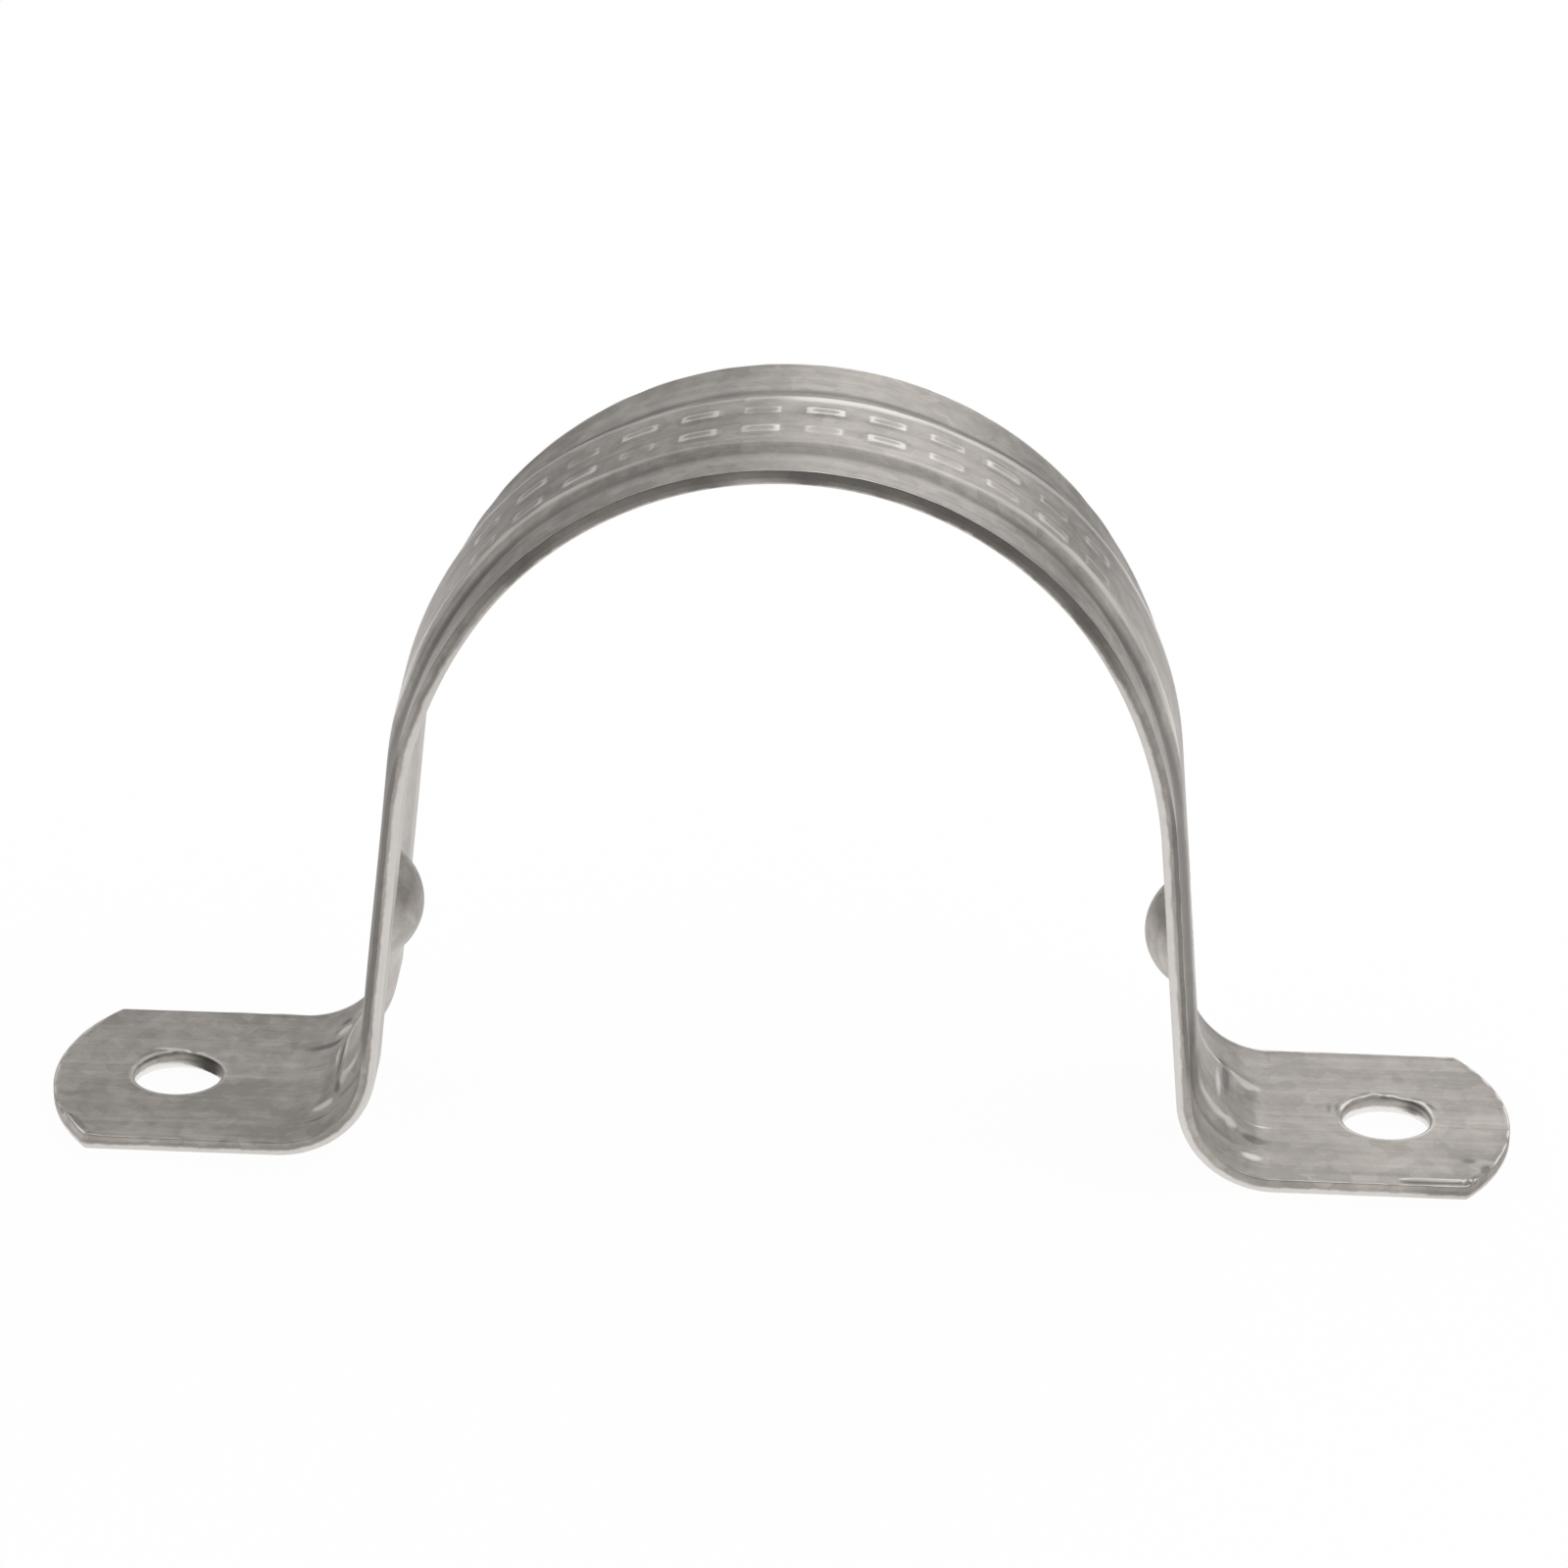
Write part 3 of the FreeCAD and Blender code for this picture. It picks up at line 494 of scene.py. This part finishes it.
    def wear(self, way, across):
        """Burrs, scratches and bruises of the outer face.

        Both front corners are hurt: the left one is turned up, and the right one is torn beside a
        scrape that starts at the hole.
        """
        half = self.sizes.strip_width / 2
        edge = self.edge_gap(way, across)
        front = across + half
        to_tip = self.tip_way - np.abs(way)
        left, right = way < 0, way > 0
        burr = 0.045 * MM * bell(edge, 0.3 * MM) * (1 + ripple(way / (1.1 * MM), across / (1.3 * MM), 1.3))
        turned_up = 0.34 * MM * bell(edge, 0.5 * MM) * bell(to_tip - 2.6 * MM, 2.2 * MM)
        turned_up = turned_up * (1 + 0.5 * ripple(way / (0.7 * MM), across / MM, 0.8))
        turned_up = turned_up * left * (front < 0.3 * half)
        past_hole = smooth_step((way - self.hole_way) / (2 * MM))
        scrape = -0.22 * MM * bell(front - 0.75 * MM, 0.22 * MM) * past_hole
        torn_corner = bell(to_tip - 3.2 * MM, 0.9 * MM) * bell(front - 0.6 * MM, 0.8 * MM)
        hurt = burr + turned_up + scrape + 0.26 * MM * right * torn_corner
        return hurt + self.hole_burr(way, across) + self.pinches(way, across) / 2

    def pinches(self, way, across):
        """Soft dents and swellings of the feet: each a bell in two directions."""
        from_bend = np.abs(way) - self.line.foot_way
        total = np.zeros(way.shape)
        for side, along, beside, long, wide, height in PINCHES:
            spot = bell(from_bend - along * MM, long * MM) * bell(across - beside * MM, wide * MM)
            total = total + height * MM * spot * (side * way > 0)
        return total

    def waves(self, way, across):
        """The sheet is not quite flat anywhere."""
        return self.relief.waviness * ripple(way / (6 * MM), across / (5 * MM), 4.1)

    def dimple(self, face, way, across, inset):
        """The face with the dome let into it: a ball's surface, (depth) - sqrt(r^2 - d^2)."""
        relief = self.relief
        away = np.hypot(np.abs(way) - self.dimple_way, across)
        radius = relief.dimple_radius - inset
        ball = np.sqrt(np.maximum(radius * radius - away * away, 0.0))
        dome = relief.dimple_radius - relief.dimple_reach - ball
        return soft_lower(face, dome, relief.dimple_rim)

    def outer(self, way, across):
        """Height of the outer face."""
        face = self.sheet + self.rib(way, across) + self.marks(way, across)
        face = self.dimple(face, way, across, self.sheet)
        return face + self.waves(way, across) + self.wear(way, across)

    def inner(self, way, across):
        """Height of the inner face; on the feet it lies flat on the wall."""
        face = self.rib(way, across) + self.marks(way, across)
        face = self.dimple(face, way, across, 0.0)
        seated = smooth_step((np.abs(way) - self.line.foot_way + 4 * MM) / (4 * MM))
        return face + self.waves(way, across) * (1 - seated)


# --- the flat blank ------------------------------------------------------------------------------


def stations(*runs):
    """Positions along a line, from (end, spacing) runs that follow one another from nothing."""
    spots, start = [np.zeros(1)], 0.0
    for end, spacing in runs:
        count = max(1, round((end - start) / spacing))
        spots.append(np.linspace(start, end, count + 1)[1:])
        start = end
    return np.concatenate(spots)


# Steps of the mesh: in from an edge, along the crown, the arch, a dimple and the bend, and across
# the rib and its borders.
EDGE_STEPS = np.array([0.0, 0.12, 0.45]) * MM
CROWN_STEP, ARCH_STEP, DIMPLE_STEP, BEND_STEP = 0.38 * MM, 0.7 * MM, 0.33 * MM, 0.34 * MM
RIB_STEP, BORDER_STEP = 0.33 * MM, 0.5 * MM
MARKS_END, DIMPLE_ROOM, RIB_ROOM, EDGE_ROOM = 31 * MM, 5.5 * MM, 8.5 * MM, 1.0 * MM
FAN_PARTS = np.linspace(0.1, 0.9, 22)
SIDE_POINTS, CORNER_POINTS, TIP_POINTS = 40, 6, 72


class Blank:
    """The strap before it is bent: a grid for the strip and a fan round each screw hole.

    Points are given by way and across.  Every blank has the same faces, so the two faces and the
    rounded rims between them can be joined point by point.
    """

    def __init__(self, line, sizes, relief):
        self.sizes, self.relief = sizes, relief
        self.half = sizes.strip_width / 2
        dimple = relief.dimple_way
        self.along = stations((MARKS_END, CROWN_STEP), (dimple - DIMPLE_ROOM, ARCH_STEP),
                              (dimple + DIMPLE_ROOM, DIMPLE_STEP), (line.foot_way, BEND_STEP))
        inside = stations((RIB_ROOM, RIB_STEP), (self.half - EDGE_ROOM, BORDER_STEP))
        self.inside = np.concatenate([-inside[:0:-1], inside])
        self.columns = len(self.inside) + 2 * len(EDGE_STEPS)
        self.fan = np.concatenate([[(0.0, step) for step in EDGE_STEPS],
                                   [(part, 0.0) for part in FAN_PARTS],
                                   [(1.0, -step) for step in EDGE_STEPS[::-1]]])
        self.index()

    def across(self, inset):
        """Columns of the strip, the outermost ones moved in by an inset."""
        edge = self.half - inset - EDGE_STEPS
        return np.concatenate([-edge, self.inside, edge[::-1]])

    def foot_outline(self, inset):
        """The foot's free outline from its front corner at the bend round to the back one.

        Straight side, corner arc, end arc, corner arc, straight side: each arc keeps its centre and
        loses the inset from its radius.
        """
        start, end = self.along[-1], self.relief.end_way
        corner, radius = self.sizes.corner_radius, self.sizes.end_radius
        level = self.half - corner
        centre = end + math.sqrt((radius - corner) ** 2 - level ** 2)
        swing = math.atan2(level, centre - end)
        side = np.linspace(start, centre, SIDE_POINTS)[1:-1]
        bend = np.linspace(-math.pi / 2, -swing, CORNER_POINTS)
        sweep = np.linspace(-swing, swing, TIP_POINTS)[1:-1]
        front = np.stack([side, np.full_like(side, inset - self.half)])
        low = np.stack([centre + (corner - inset) * np.cos(bend), -level + (corner - inset) * np.sin(bend)])
        tip = np.stack([end + (radius - inset) * np.cos(sweep), (radius - inset) * np.sin(sweep)])
        flip = np.array([[1.0], [-1.0]])
        return np.hstack([front, low, tip, flip * low[:, ::-1], flip * front[:, ::-1]])

    def half_points(self, inset, growth):
        """Points of the right-hand half, with the outline moved in and the hole made larger."""
        columns = self.across(inset)
        strip = np.stack(np.meshgrid(self.along, columns, indexing="ij"))
        ring = np.hstack([strip[:, -1, ::-1], self.foot_outline(inset)])
        middle = np.array([[self.relief.hole_way], [0.0]])
        arm = ring - middle
        reach = np.hypot(*arm)
        gone = self.fan[:, :1] * (reach - self.sizes.hole_radius - growth) + self.fan[:, 1:]
        fan = ring[:, None, :] - (arm / reach)[:, None, :] * gone[None]
        shared = fan[:, 1:, :]
        outline = ring[:, self.columns:]
        return np.hstack([strip.reshape(2, -1), outline, shared.reshape(2, -1)])

    def points(self, inset=0.0, growth=0.0):
        """Way and across of every point: the right half, then the left without the crown's row."""
        right = self.half_points(inset, growth)
        left = right[:, self.columns:] * np.array([[-1.0], [1.0]])
        return np.hstack([right, left])

    def index(self):
        """Faces, outline and hole rims, as point numbers, all the same for every inset."""
        rows, columns = len(self.along), self.columns
        strip = np.arange(rows * columns).reshape(rows, columns)
        cells = np.stack([strip[:-1, :-1], strip[1:, :-1], strip[1:, 1:], strip[:-1, 1:]], -1)
        free = rows * columns + np.arange(self.foot_outline(0.0).shape[1])
        ring = np.concatenate([strip[-1, ::-1], free])
        first = free[-1] + 1
        fan = first + np.arange((len(self.fan) - 1) * len(ring)).reshape(-1, len(ring))
        fan = np.vstack([ring, fan])
        after = np.roll(fan, -1, axis=1)
        slices = np.stack([fan[:-1], after[:-1], after[1:], fan[1:]], -1)
        right = np.concatenate([cells.reshape(-1, 4), slices.reshape(-1, 4)])
        count = fan[-1, -1] + 1
        mirror = np.concatenate([np.arange(columns), count + np.arange(count - columns)])
        self.quads = np.concatenate([right, mirror[right][:, ::-1]])
        chain = np.concatenate([strip[:, 0], free, strip[::-1, -1]])
        self.outline = np.concatenate([chain, mirror[chain][-2:0:-1]])
        self.holes = [fan[-1, ::-1], mirror[fan[-1]]]


# --- the bent sheet ------------------------------------------------------------------------------


def rounded_rim(thickness, upper, lower, steps):
    """(inset, height) pairs down a cut edge: a quarter turn, the straight cut, a quarter turn."""
    angle = np.linspace(0, math.pi / 2, steps + 1)
    top = np.stack([upper * (1 - np.sin(angle)), thickness - upper * (1 - np.cos(angle))], axis=1)
    low = np.stack([lower * (1 - np.cos(angle)), lower * (1 - np.sin(angle))], axis=1)
    straight = np.linspace(top[-1], low[0], 5)[1:-1]
    return np.concatenate([top, straight, low])


class SheetMesh:
    """Gathers points, what is known about each, and faces."""

    def __init__(self):
        self.places, self.facts, self.quads, self.count = [], [], [], 0

    def add(self, place, facts):
        """Adds points and returns the number of the first."""
        first = self.count
        self.places.append(place)
        self.facts.append(facts)
        self.count += len(place)
        return first

    def join(self, upper, lower):
        """Faces between two closed rows of points, the upper one first."""
        self.quads.append(np.stack([upper, lower, np.roll(lower, -1), np.roll(upper, -1)], axis=1))


FOLD_REACH = 0.45 * MM


def fold_sharpness(height_at, way, across):
    """How ridged a face is: its height over the mean of four neighbours, over their distance."""
    around = (height_at(way + FOLD_REACH, across) + height_at(way - FOLD_REACH, across)
              + height_at(way, across + FOLD_REACH) + height_at(way, across - FOLD_REACH)) / 4
    return (height_at(way, across) - around) / FOLD_REACH


def build_sheet(sizes, relief_sizes):
    """Places, facts and faces of the whole strap.

    Both faces are the flat blank bent along the line at their own heights.  Their outlines and hole
    rims are joined by rows that follow a rounded edge.
    """
    line = SheetLine(sizes)
    relief = Relief(line, sizes, relief_sizes)
    blank = Blank(line, sizes, relief)
    mesh = SheetMesh()
    thickness = sizes.thickness
    edge = rounded_rim(thickness, sizes.sharp_edge, sizes.rolled_edge, 4)
    lip = rounded_rim(thickness, sizes.hole_lip, sizes.sharp_edge, 3)

    def facts(way, across, height, ridge, cut, torn, bore):
        columns = np.broadcast_arrays(way, across, height, ridge, cut, torn, bore)
        return np.stack(columns, axis=1)

    def face(height_at, ridge_and_light_at, edge_row, lip_row):
        way, across = blank.points(edge_row[0], lip_row[0])
        height = height_at(way, across)
        known = facts(way, across, height, ridge_and_light_at(way, across), 0, 0, 0)
        return mesh.add(line.place(way, across, height), known)

    # Fold sharpness of the outer face with its painted highlights and painted shade added.
    def outer_ridge_and_light(way, across):
        return fold_sharpness(relief.outer, way, across) + relief.rub(way, across)

    top = face(relief.outer, outer_ridge_and_light, edge[0], lip[0])
    low = face(relief.inner, relief.inner_rub, edge[-1], lip[-1])
    mesh.quads += [top + blank.quads, low + blank.quads[:, ::-1]]

    holes = [(hole, lip, False) for hole in blank.holes]
    for loop, profile, is_edge in [(blank.outline, edge, True), *holes]:
        upper = top + loop
        for inset, level in profile[1:-1]:
            way, across = blank.points(inset, 0.0) if is_edge else blank.points(0.0, inset)
            way, across = way[loop], across[loop]
            part = level / thickness
            height = part * relief.outer(way, across) + (1 - part) * relief.inner(way, across)
            # Painted shade on the upper part of the legs' cut edges.
            painted_shade = -relief.leg_dust(way) * smooth_step((part - 0.6) / 0.2)
            known = facts(way, across, height, painted_shade, 1, relief.torn(way, across), not is_edge)
            row = mesh.add(line.place(way, across, height), known)
            lower = row + np.arange(len(loop))
            mesh.join(upper, lower)
            upper = lower
        mesh.join(upper, low + loop)
    return np.concatenate(mesh.places), np.concatenate(mesh.facts), np.concatenate(mesh.quads)


def mesh_object(name, places, quads):
    """A smooth mesh object from arrays of points and four-sided faces."""
    mesh = bpy.data.meshes.new(name)
    mesh.vertices.add(len(places))
    mesh.vertices.foreach_set("co", places.astype(np.float32).ravel())
    mesh.loops.add(quads.size)
    mesh.loops.foreach_set("vertex_index", quads.astype(np.int32).ravel())
    mesh.polygons.add(len(quads))
    mesh.polygons.foreach_set("loop_start", np.arange(0, quads.size, 4, dtype=np.int32))
    mesh.polygons.foreach_set("use_smooth", np.ones(len(quads), dtype=bool))
    mesh.update(calc_edges=True)
    if mesh.validate():
        raise RuntimeError(name + " has faces that Blender had to mend")
    piece = bpy.data.objects.new(name, mesh)
    bpy.context.scene.collection.objects.link(piece)
    return piece


# --- shader wiring -------------------------------------------------------------------------------


class Signal:
    """A shader socket carrying a number, which plain arithmetic can be done on."""

    def __init__(self, wiring, socket):
        self.wiring, self.socket = wiring, socket

    def _with(self, operation, first, second):
        return self.wiring.maths(operation, first, second)

    def __add__(self, other):
        return self._with("ADD", self, other)

    def __radd__(self, other):
        return self._with("ADD", other, self)

    def __sub__(self, other):
        return self._with("SUBTRACT", self, other)

    def __rsub__(self, other):
        return self._with("SUBTRACT", other, self)

    def __mul__(self, other):
        return self._with("MULTIPLY", self, other)

    def __rmul__(self, other):
        return self._with("MULTIPLY", other, self)

    def __pow__(self, other):
        return self._with("POWER", self, other)


class Wiring:
    """The node tree of a material or of the world."""

    def __init__(self, owner):
        owner.use_nodes = True
        self.tree = owner.node_tree
        self.tree.nodes.clear()

    def node(self, kind, settings=(), inputs=()):
        """Any node: its settings are set first, then each socket gets its value or its link."""
        node = self.tree.nodes.new(kind)
        for name, value in dict(settings).items():
            setattr(node, name, value)
        for name, value in dict(inputs).items():
            source = getattr(value, "socket", value)
            if isinstance(source, bpy.types.NodeSocket):
                self.tree.links.new(source, node.inputs[name])
            else:
                node.inputs[name].default_value = source
        return node

    def signal(self, node, output):
        """An output of a node as a number to calculate with."""
        return Signal(self, node.outputs[output])

    def maths(self, operation, first, second=0.0, clamp=False):
        """A sum on numbers, as one Math node."""
        settings = {"operation": operation, "use_clamp": clamp}
        node = self.node("ShaderNodeMath", settings, {0: first, 1: second})
        return self.signal(node, "Value")

    def ramp(self, value, low, high):
        """A number that goes from 0 at low to 1 at high, smoothly."""
        node = self.node("ShaderNodeMapRange", {"interpolation_type": "SMOOTHSTEP"},
                         {"Value": value, "From Min": low, "From Max": high})
        return self.signal(node, "Result")

    def mix_colour(self, factor, first, second):
        """One colour blended into another."""
        node = self.node("ShaderNodeMix", {"data_type": "RGBA"}, {0: factor, 6: first, 7: second})
        return node.outputs[2]

    def stretched(self, vector, scale):
        """A place with each of its three numbers scaled."""
        node = self.node("ShaderNodeVectorMath", {"operation": "MULTIPLY"}, {0: vector, 1: scale})
        return node.outputs["Vector"]

    def noise(self, vector, scale, detail=2.0, roughness=0.5):
        """Cloudy noise about one half."""
        node = self.node("ShaderNodeTexNoise", {}, {"Vector": vector, "Scale": scale, "Detail": detail,
                                                    "Roughness": roughness})
        return self.signal(node, "Fac")

    def shader(self, kind, inputs):
        """The output of a shader node."""
        return self.node(kind, {}, inputs).outputs[0]

    def finish(self, kind, surface):
        """Joins a shader to the output."""
        self.node(kind, {}, {"Surface": surface})


def opaque(rgb):
    """A colour with full alpha."""
    return (*rgb, 1.0)


WHITE = opaque((1.0, 1.0, 1.0))

# Repeats of the zinc's patterns in a metre; three numbers are along, across and through the sheet.
CLOUDS, MOTTLE, CRYSTALS = 90.0, 620.0, 620.0
FINE_LINES, WIDE_LINES, SCUFFS = (60.0, 2600.0, 900.0), (30.0, 700.0, 400.0), (420.0, 160.0, 300.0)

# Heights over the inner face between which a cut edge goes from one look to the next.
SOFT_SIDE, TORN_AND_SHADE_SIDE, SHEARED_SIDE = (0.8 * MM, 1.05 * MM), (0.45 * MM, 0.72 * MM), (0.7 * MM, 0.45 * MM)

# Sharpness of fold, with painted highlights and shade counted in, at which wear with painted sheen and dirt
# with painted shade begin, and at which they are complete.
WEAR_AND_SHEEN_FOLDS, DIRT_AND_SHADE_FOLDS = (0.01, 0.05), (0.008, 0.08)


def zinc_material(finish):
    """Dulled galvanised steel: crystals, lines along the strip, scuffs, worn ridges with painted
    highlights, dirt and painted shade in folds, torn edges with painted shade.
    """
    material = bpy.data.materials.new("galvanised_steel")
    w = Wiring(material)
    place = w.node("ShaderNodeAttribute", {"attribute_name": "sheet_place"}).outputs["Vector"]
    depth = w.signal(w.node("ShaderNodeSeparateXYZ", {}, {0: place}), "Z")
    ridge, cut, torn_and_shade_share, bore = [w.signal(w.node("ShaderNodeAttribute", {"attribute_name": name}), "Fac")
                                    for name in ("ridge", "cut", "torn", "bore")]

    clouds = w.noise(place, CLOUDS, 3.0)
    mottle = w.noise(place, MOTTLE, 4.0, 0.7)
    lines = w.noise(w.stretched(place, FINE_LINES), 1.0, 3.0, 0.6)
    wide_lines = w.noise(w.stretched(place, WIDE_LINES), 1.0, 2.0)
    crystals = w.node("ShaderNodeTexVoronoi", {"feature": "F1"}, {"Vector": place, "Scale": CRYSTALS})
    crystal = w.signal(w.node("ShaderNodeSeparateColor", {}, {"Color": crystals.outputs["Color"]}), "Red")
    scuffs = w.ramp(w.noise(w.stretched(place, SCUFFS), 1.0, 6.0, 0.75), 0.60, 0.72)

    ragged = depth + (mottle - 0.5) * (0.5 * MM)
    soft_side = w.ramp(ragged, *SOFT_SIDE) * (1.0 - torn_and_shade_share)
    reach = ragged + bore * (0.2 * MM) + torn_and_shade_share ** 3 * (0.4 * MM)
    # Dark torn steel on the cut edges, laid on most where the edge lies in shade: painted shade.
    torn = w.ramp(reach, *TORN_AND_SHADE_SIDE) * (1.0 - soft_side) * torn_and_shade_share
    torn = torn * (0.4 + w.ramp(clouds, 0.25, 0.6) * 0.6 * (1.0 - bore) + bore * 0.6)
    sheared = w.ramp(ragged, *SHEARED_SIDE) * cut
    # Worn is real wear on sharp folds plus painted highlights; the dark mix is dirt in creases plus painted
    # shade.
    worn = w.ramp(ridge, *WEAR_AND_SHEEN_FOLDS)
    dirt_and_shade = w.ramp(0.0 - ridge, *DIRT_AND_SHADE_FOLDS)
    pale = 0.38 + (clouds - 0.5) * 1.5 + (mottle - 0.5) * 1.6 + (crystal - 0.5) * finish.spangle
    pale = pale + (lines - 0.5) * finish.streaks + (wide_lines - 0.5) * finish.streaks * 1.4
    pale = w.maths("ADD", pale, scuffs * 0.25 + worn * 0.7 + sheared, clamp=True)
    bright = w.maths("MAXIMUM", sheared * bore, sheared * (1.0 - torn_and_shade_share) * 0.5)
    bright = w.maths("MAXIMUM", bright, worn * 0.4)
    base = w.mix_colour(pale, opaque(finish.zinc), opaque(finish.pale_zinc))
    base = w.mix_colour(bright, base, opaque(finish.burnished))
    base = w.mix_colour(dirt_and_shade * 0.7, base, opaque(finish.grime))
    base = w.mix_colour(torn * (0.75 + 0.3 * bore), base, opaque(finish.cut_steel))

    rough = finish.roughness + (mottle - 0.5) * 0.22 + (clouds - 0.5) * 0.12 - worn * 0.08 + torn * 0.2
    height = lines * 0.35 + mottle * 0.7 + crystal * 0.12 + scuffs * 0.25
    bump = w.node("ShaderNodeBump", {}, {"Strength": 0.3, "Distance": 0.12 * MM, "Height": height})
    principled = {"Base Color": base, "Metallic": 0.92, "Roughness": rough,
                  "Normal": bump.outputs["Normal"]}
    w.finish("ShaderNodeOutputMaterial", w.shader("ShaderNodeBsdfPrincipled", principled))
    return material


# --- operators -----------------------------------------------------------------------------------


class STRAP_OT_sheet(bpy.types.Operator):
    """Bends the sheet, presses its rib, dimples and marks, and galvanises it"""

    bl_idname = "strap.sheet"
    bl_label = "Bend the strap"

    def execute(self, context):
        scene = context.scene
        places, facts, quads = build_sheet(scene.strap_sizes, scene.strap_relief)
        piece = mesh_object(PIECE, places, quads)
        mesh = piece.data
        mesh.attributes.new("sheet_place", "FLOAT_VECTOR", "POINT")
        mesh.attributes["sheet_place"].data.foreach_set("vector", facts[:, :3].astype(np.float32).ravel())
        for name, column in (("ridge", 3), ("cut", 4), ("torn", 5), ("bore", 6)):
            mesh.attributes.new(name, "FLOAT", "POINT")
            mesh.attributes[name].data.foreach_set("value", facts[:, column].astype(np.float32))
        mesh.materials.append(zinc_material(scene.strap_finish))
        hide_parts("strap")
        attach(piece, "root")
        return {"FINISHED"}


# Heights in the view, as sines, between which the room's brightness goes from one part to the next.
TO_WINDOW, TO_WALL, TO_CEILING = (0.02, 0.2), (0.25, 0.5), (0.5, 0.9)


class STRAP_OT_stage(bpy.types.Operator):
    """Lays the floor, lights it and sets the camera"""

    bl_idname = "strap.stage"
    bl_label = "Set the stage"

    def execute(self, context):
        stage = context.scene.strap_stage
        self.lay_floor(stage)
        self.light_room(context.scene, stage)
        self.place_camera(context.scene, stage)
        context.scene.view_settings.view_transform = "Standard"
        return {"FINISHED"}

    def lay_floor(self, stage):
        """A floor that is white to the camera and in reflections, and keeps its shadow."""
        half = stage.floor_size / 2
        corners = np.array([[-half, -half, 0], [half, -half, 0], [half, half, 0], [-half, half, 0]])
        floor = mesh_object("floor", corners, np.array([[0, 1, 2, 3]]))
        floor.location.z = -0.02 * MM
        material = bpy.data.materials.new("floor_paper")
        w = Wiring(material)
        path = w.node("ShaderNodeLightPath")
        seen = w.maths("MAXIMUM", w.signal(path, "Is Camera Ray"), w.signal(path, "Is Glossy Ray"))
        paper = w.shader("ShaderNodeBsdfDiffuse", {"Color": opaque(stage.floor)})
        white = w.shader("ShaderNodeEmission", {"Color": WHITE, "Strength": stage.floor_glow})
        mixed = w.shader("ShaderNodeMixShader", {0: seen * stage.floor_own, 1: paper, 2: white})
        w.finish("ShaderNodeOutputMaterial", mixed)
        floor.data.materials.append(material)

    def light_room(self, scene, stage):
        """An even room, white where the camera sees it, and one large softbox."""
        world = bpy.data.worlds.new("room")
        scene.world = world
        w = Wiring(world)
        seen = w.signal(w.node("ShaderNodeLightPath"), "Is Camera Ray")
        towards = w.node("ShaderNodeTexCoord").outputs["Generated"]
        direction = w.node("ShaderNodeSeparateXYZ", {}, {0: towards})
        height = w.signal(direction, "Z")
        low = stage.horizon + w.ramp(height, *TO_WINDOW) * (stage.window - stage.horizon)
        middle = low + w.ramp(height, *TO_WALL) * (stage.wall - low)
        room = middle + w.ramp(height, *TO_CEILING) * (stage.ceiling - middle)
        room = room + w.signal(direction, "X") * stage.side
        light = {"Color": WHITE, "Strength": room + seen * (1.0 - room)}
        w.finish("ShaderNodeOutputWorld", w.shader("ShaderNodeBackground", light))
        self.hang_softbox(scene, stage)

    def hang_softbox(self, scene, stage):
        """A square lamp that faces the conduit's axis."""
        lamp = bpy.data.lights.new("softbox", "AREA")
        lamp.energy = stage.softbox
        lamp.size = stage.softbox_size
        softbox = bpy.data.objects.new("softbox", lamp)
        scene.collection.objects.link(softbox)
        place = Vector(stage.softbox_place)
        turned = (place - Vector((0, 0, SADDLE_HEIGHT))).to_track_quat("Z", "Y").to_matrix()
        softbox.matrix_world = Matrix.Translation(place) @ turned.to_4x4()

    def place_camera(self, scene, stage):
        """A camera on a ball round its aim, rolled a little about its line of sight."""
        az, el = stage.azimuth, stage.elevation
        back = Vector((math.sin(az) * math.cos(el), -math.cos(az) * math.cos(el), math.sin(el)))
        right = Vector((math.cos(az), math.sin(az), 0.0))
        up = back.cross(right)
        level = Matrix((right, up, back)).transposed()
        turned = level @ Matrix.Rotation(stage.roll, 3, "Z")
        camera_data = bpy.data.cameras.new("camera")
        camera_data.sensor_width = 36.0
        camera_data.lens = stage.lens
        camera_data.clip_start = 0.01
        camera = bpy.data.objects.new("camera", camera_data)
        scene.collection.objects.link(camera)
        place = Vector(stage.aim) + back * stage.distance
        camera.matrix_world = Matrix.Translation(place) @ turned.to_4x4()
        scene.camera = camera


class STRAP_PT_panel(bpy.types.Panel):
    """Lists the steps that build the strap and its stage"""

    bl_idname = "STRAP_PT_panel"
    bl_label = "Conduit strap"
    bl_space_type = "VIEW_3D"
    bl_region_type = "UI"
    bl_category = "Strap"

    def draw(self, context):
        for group in ("strap_sizes", "strap_relief", "strap_finish", "strap_stage"):
            settings = getattr(context.scene, group)
            box = self.layout.box()
            for name in settings.bl_rna.properties.keys():
                if name not in ("rna_type", "name"):
                    box.prop(settings, name)
        self.layout.operator(STRAP_OT_sheet.bl_idname)
        self.layout.operator(STRAP_OT_stage.bl_idname)


GROUPS = {"strap_sizes": StrapSizes, "strap_relief": ReliefSizes, "strap_finish": FinishSettings,
          "strap_stage": StageSettings}
CLASSES = (*GROUPS.values(), STRAP_OT_sheet, STRAP_OT_stage, STRAP_PT_panel)


def register():
    for item in CLASSES:
        bpy.utils.register_class(item)
    for name, group in GROUPS.items():
        setattr(bpy.types.Scene, name, PointerProperty(type=group))


def unregister():
    for name in GROUPS:
        delattr(bpy.types.Scene, name)
    for item in reversed(CLASSES):
        bpy.utils.unregister_class(item)


def main():
    """Builds everything in order."""
    register()
    bpy.ops.strap.stage()
    bpy.ops.strap.sheet()


if __name__ == "__main__":
    main()
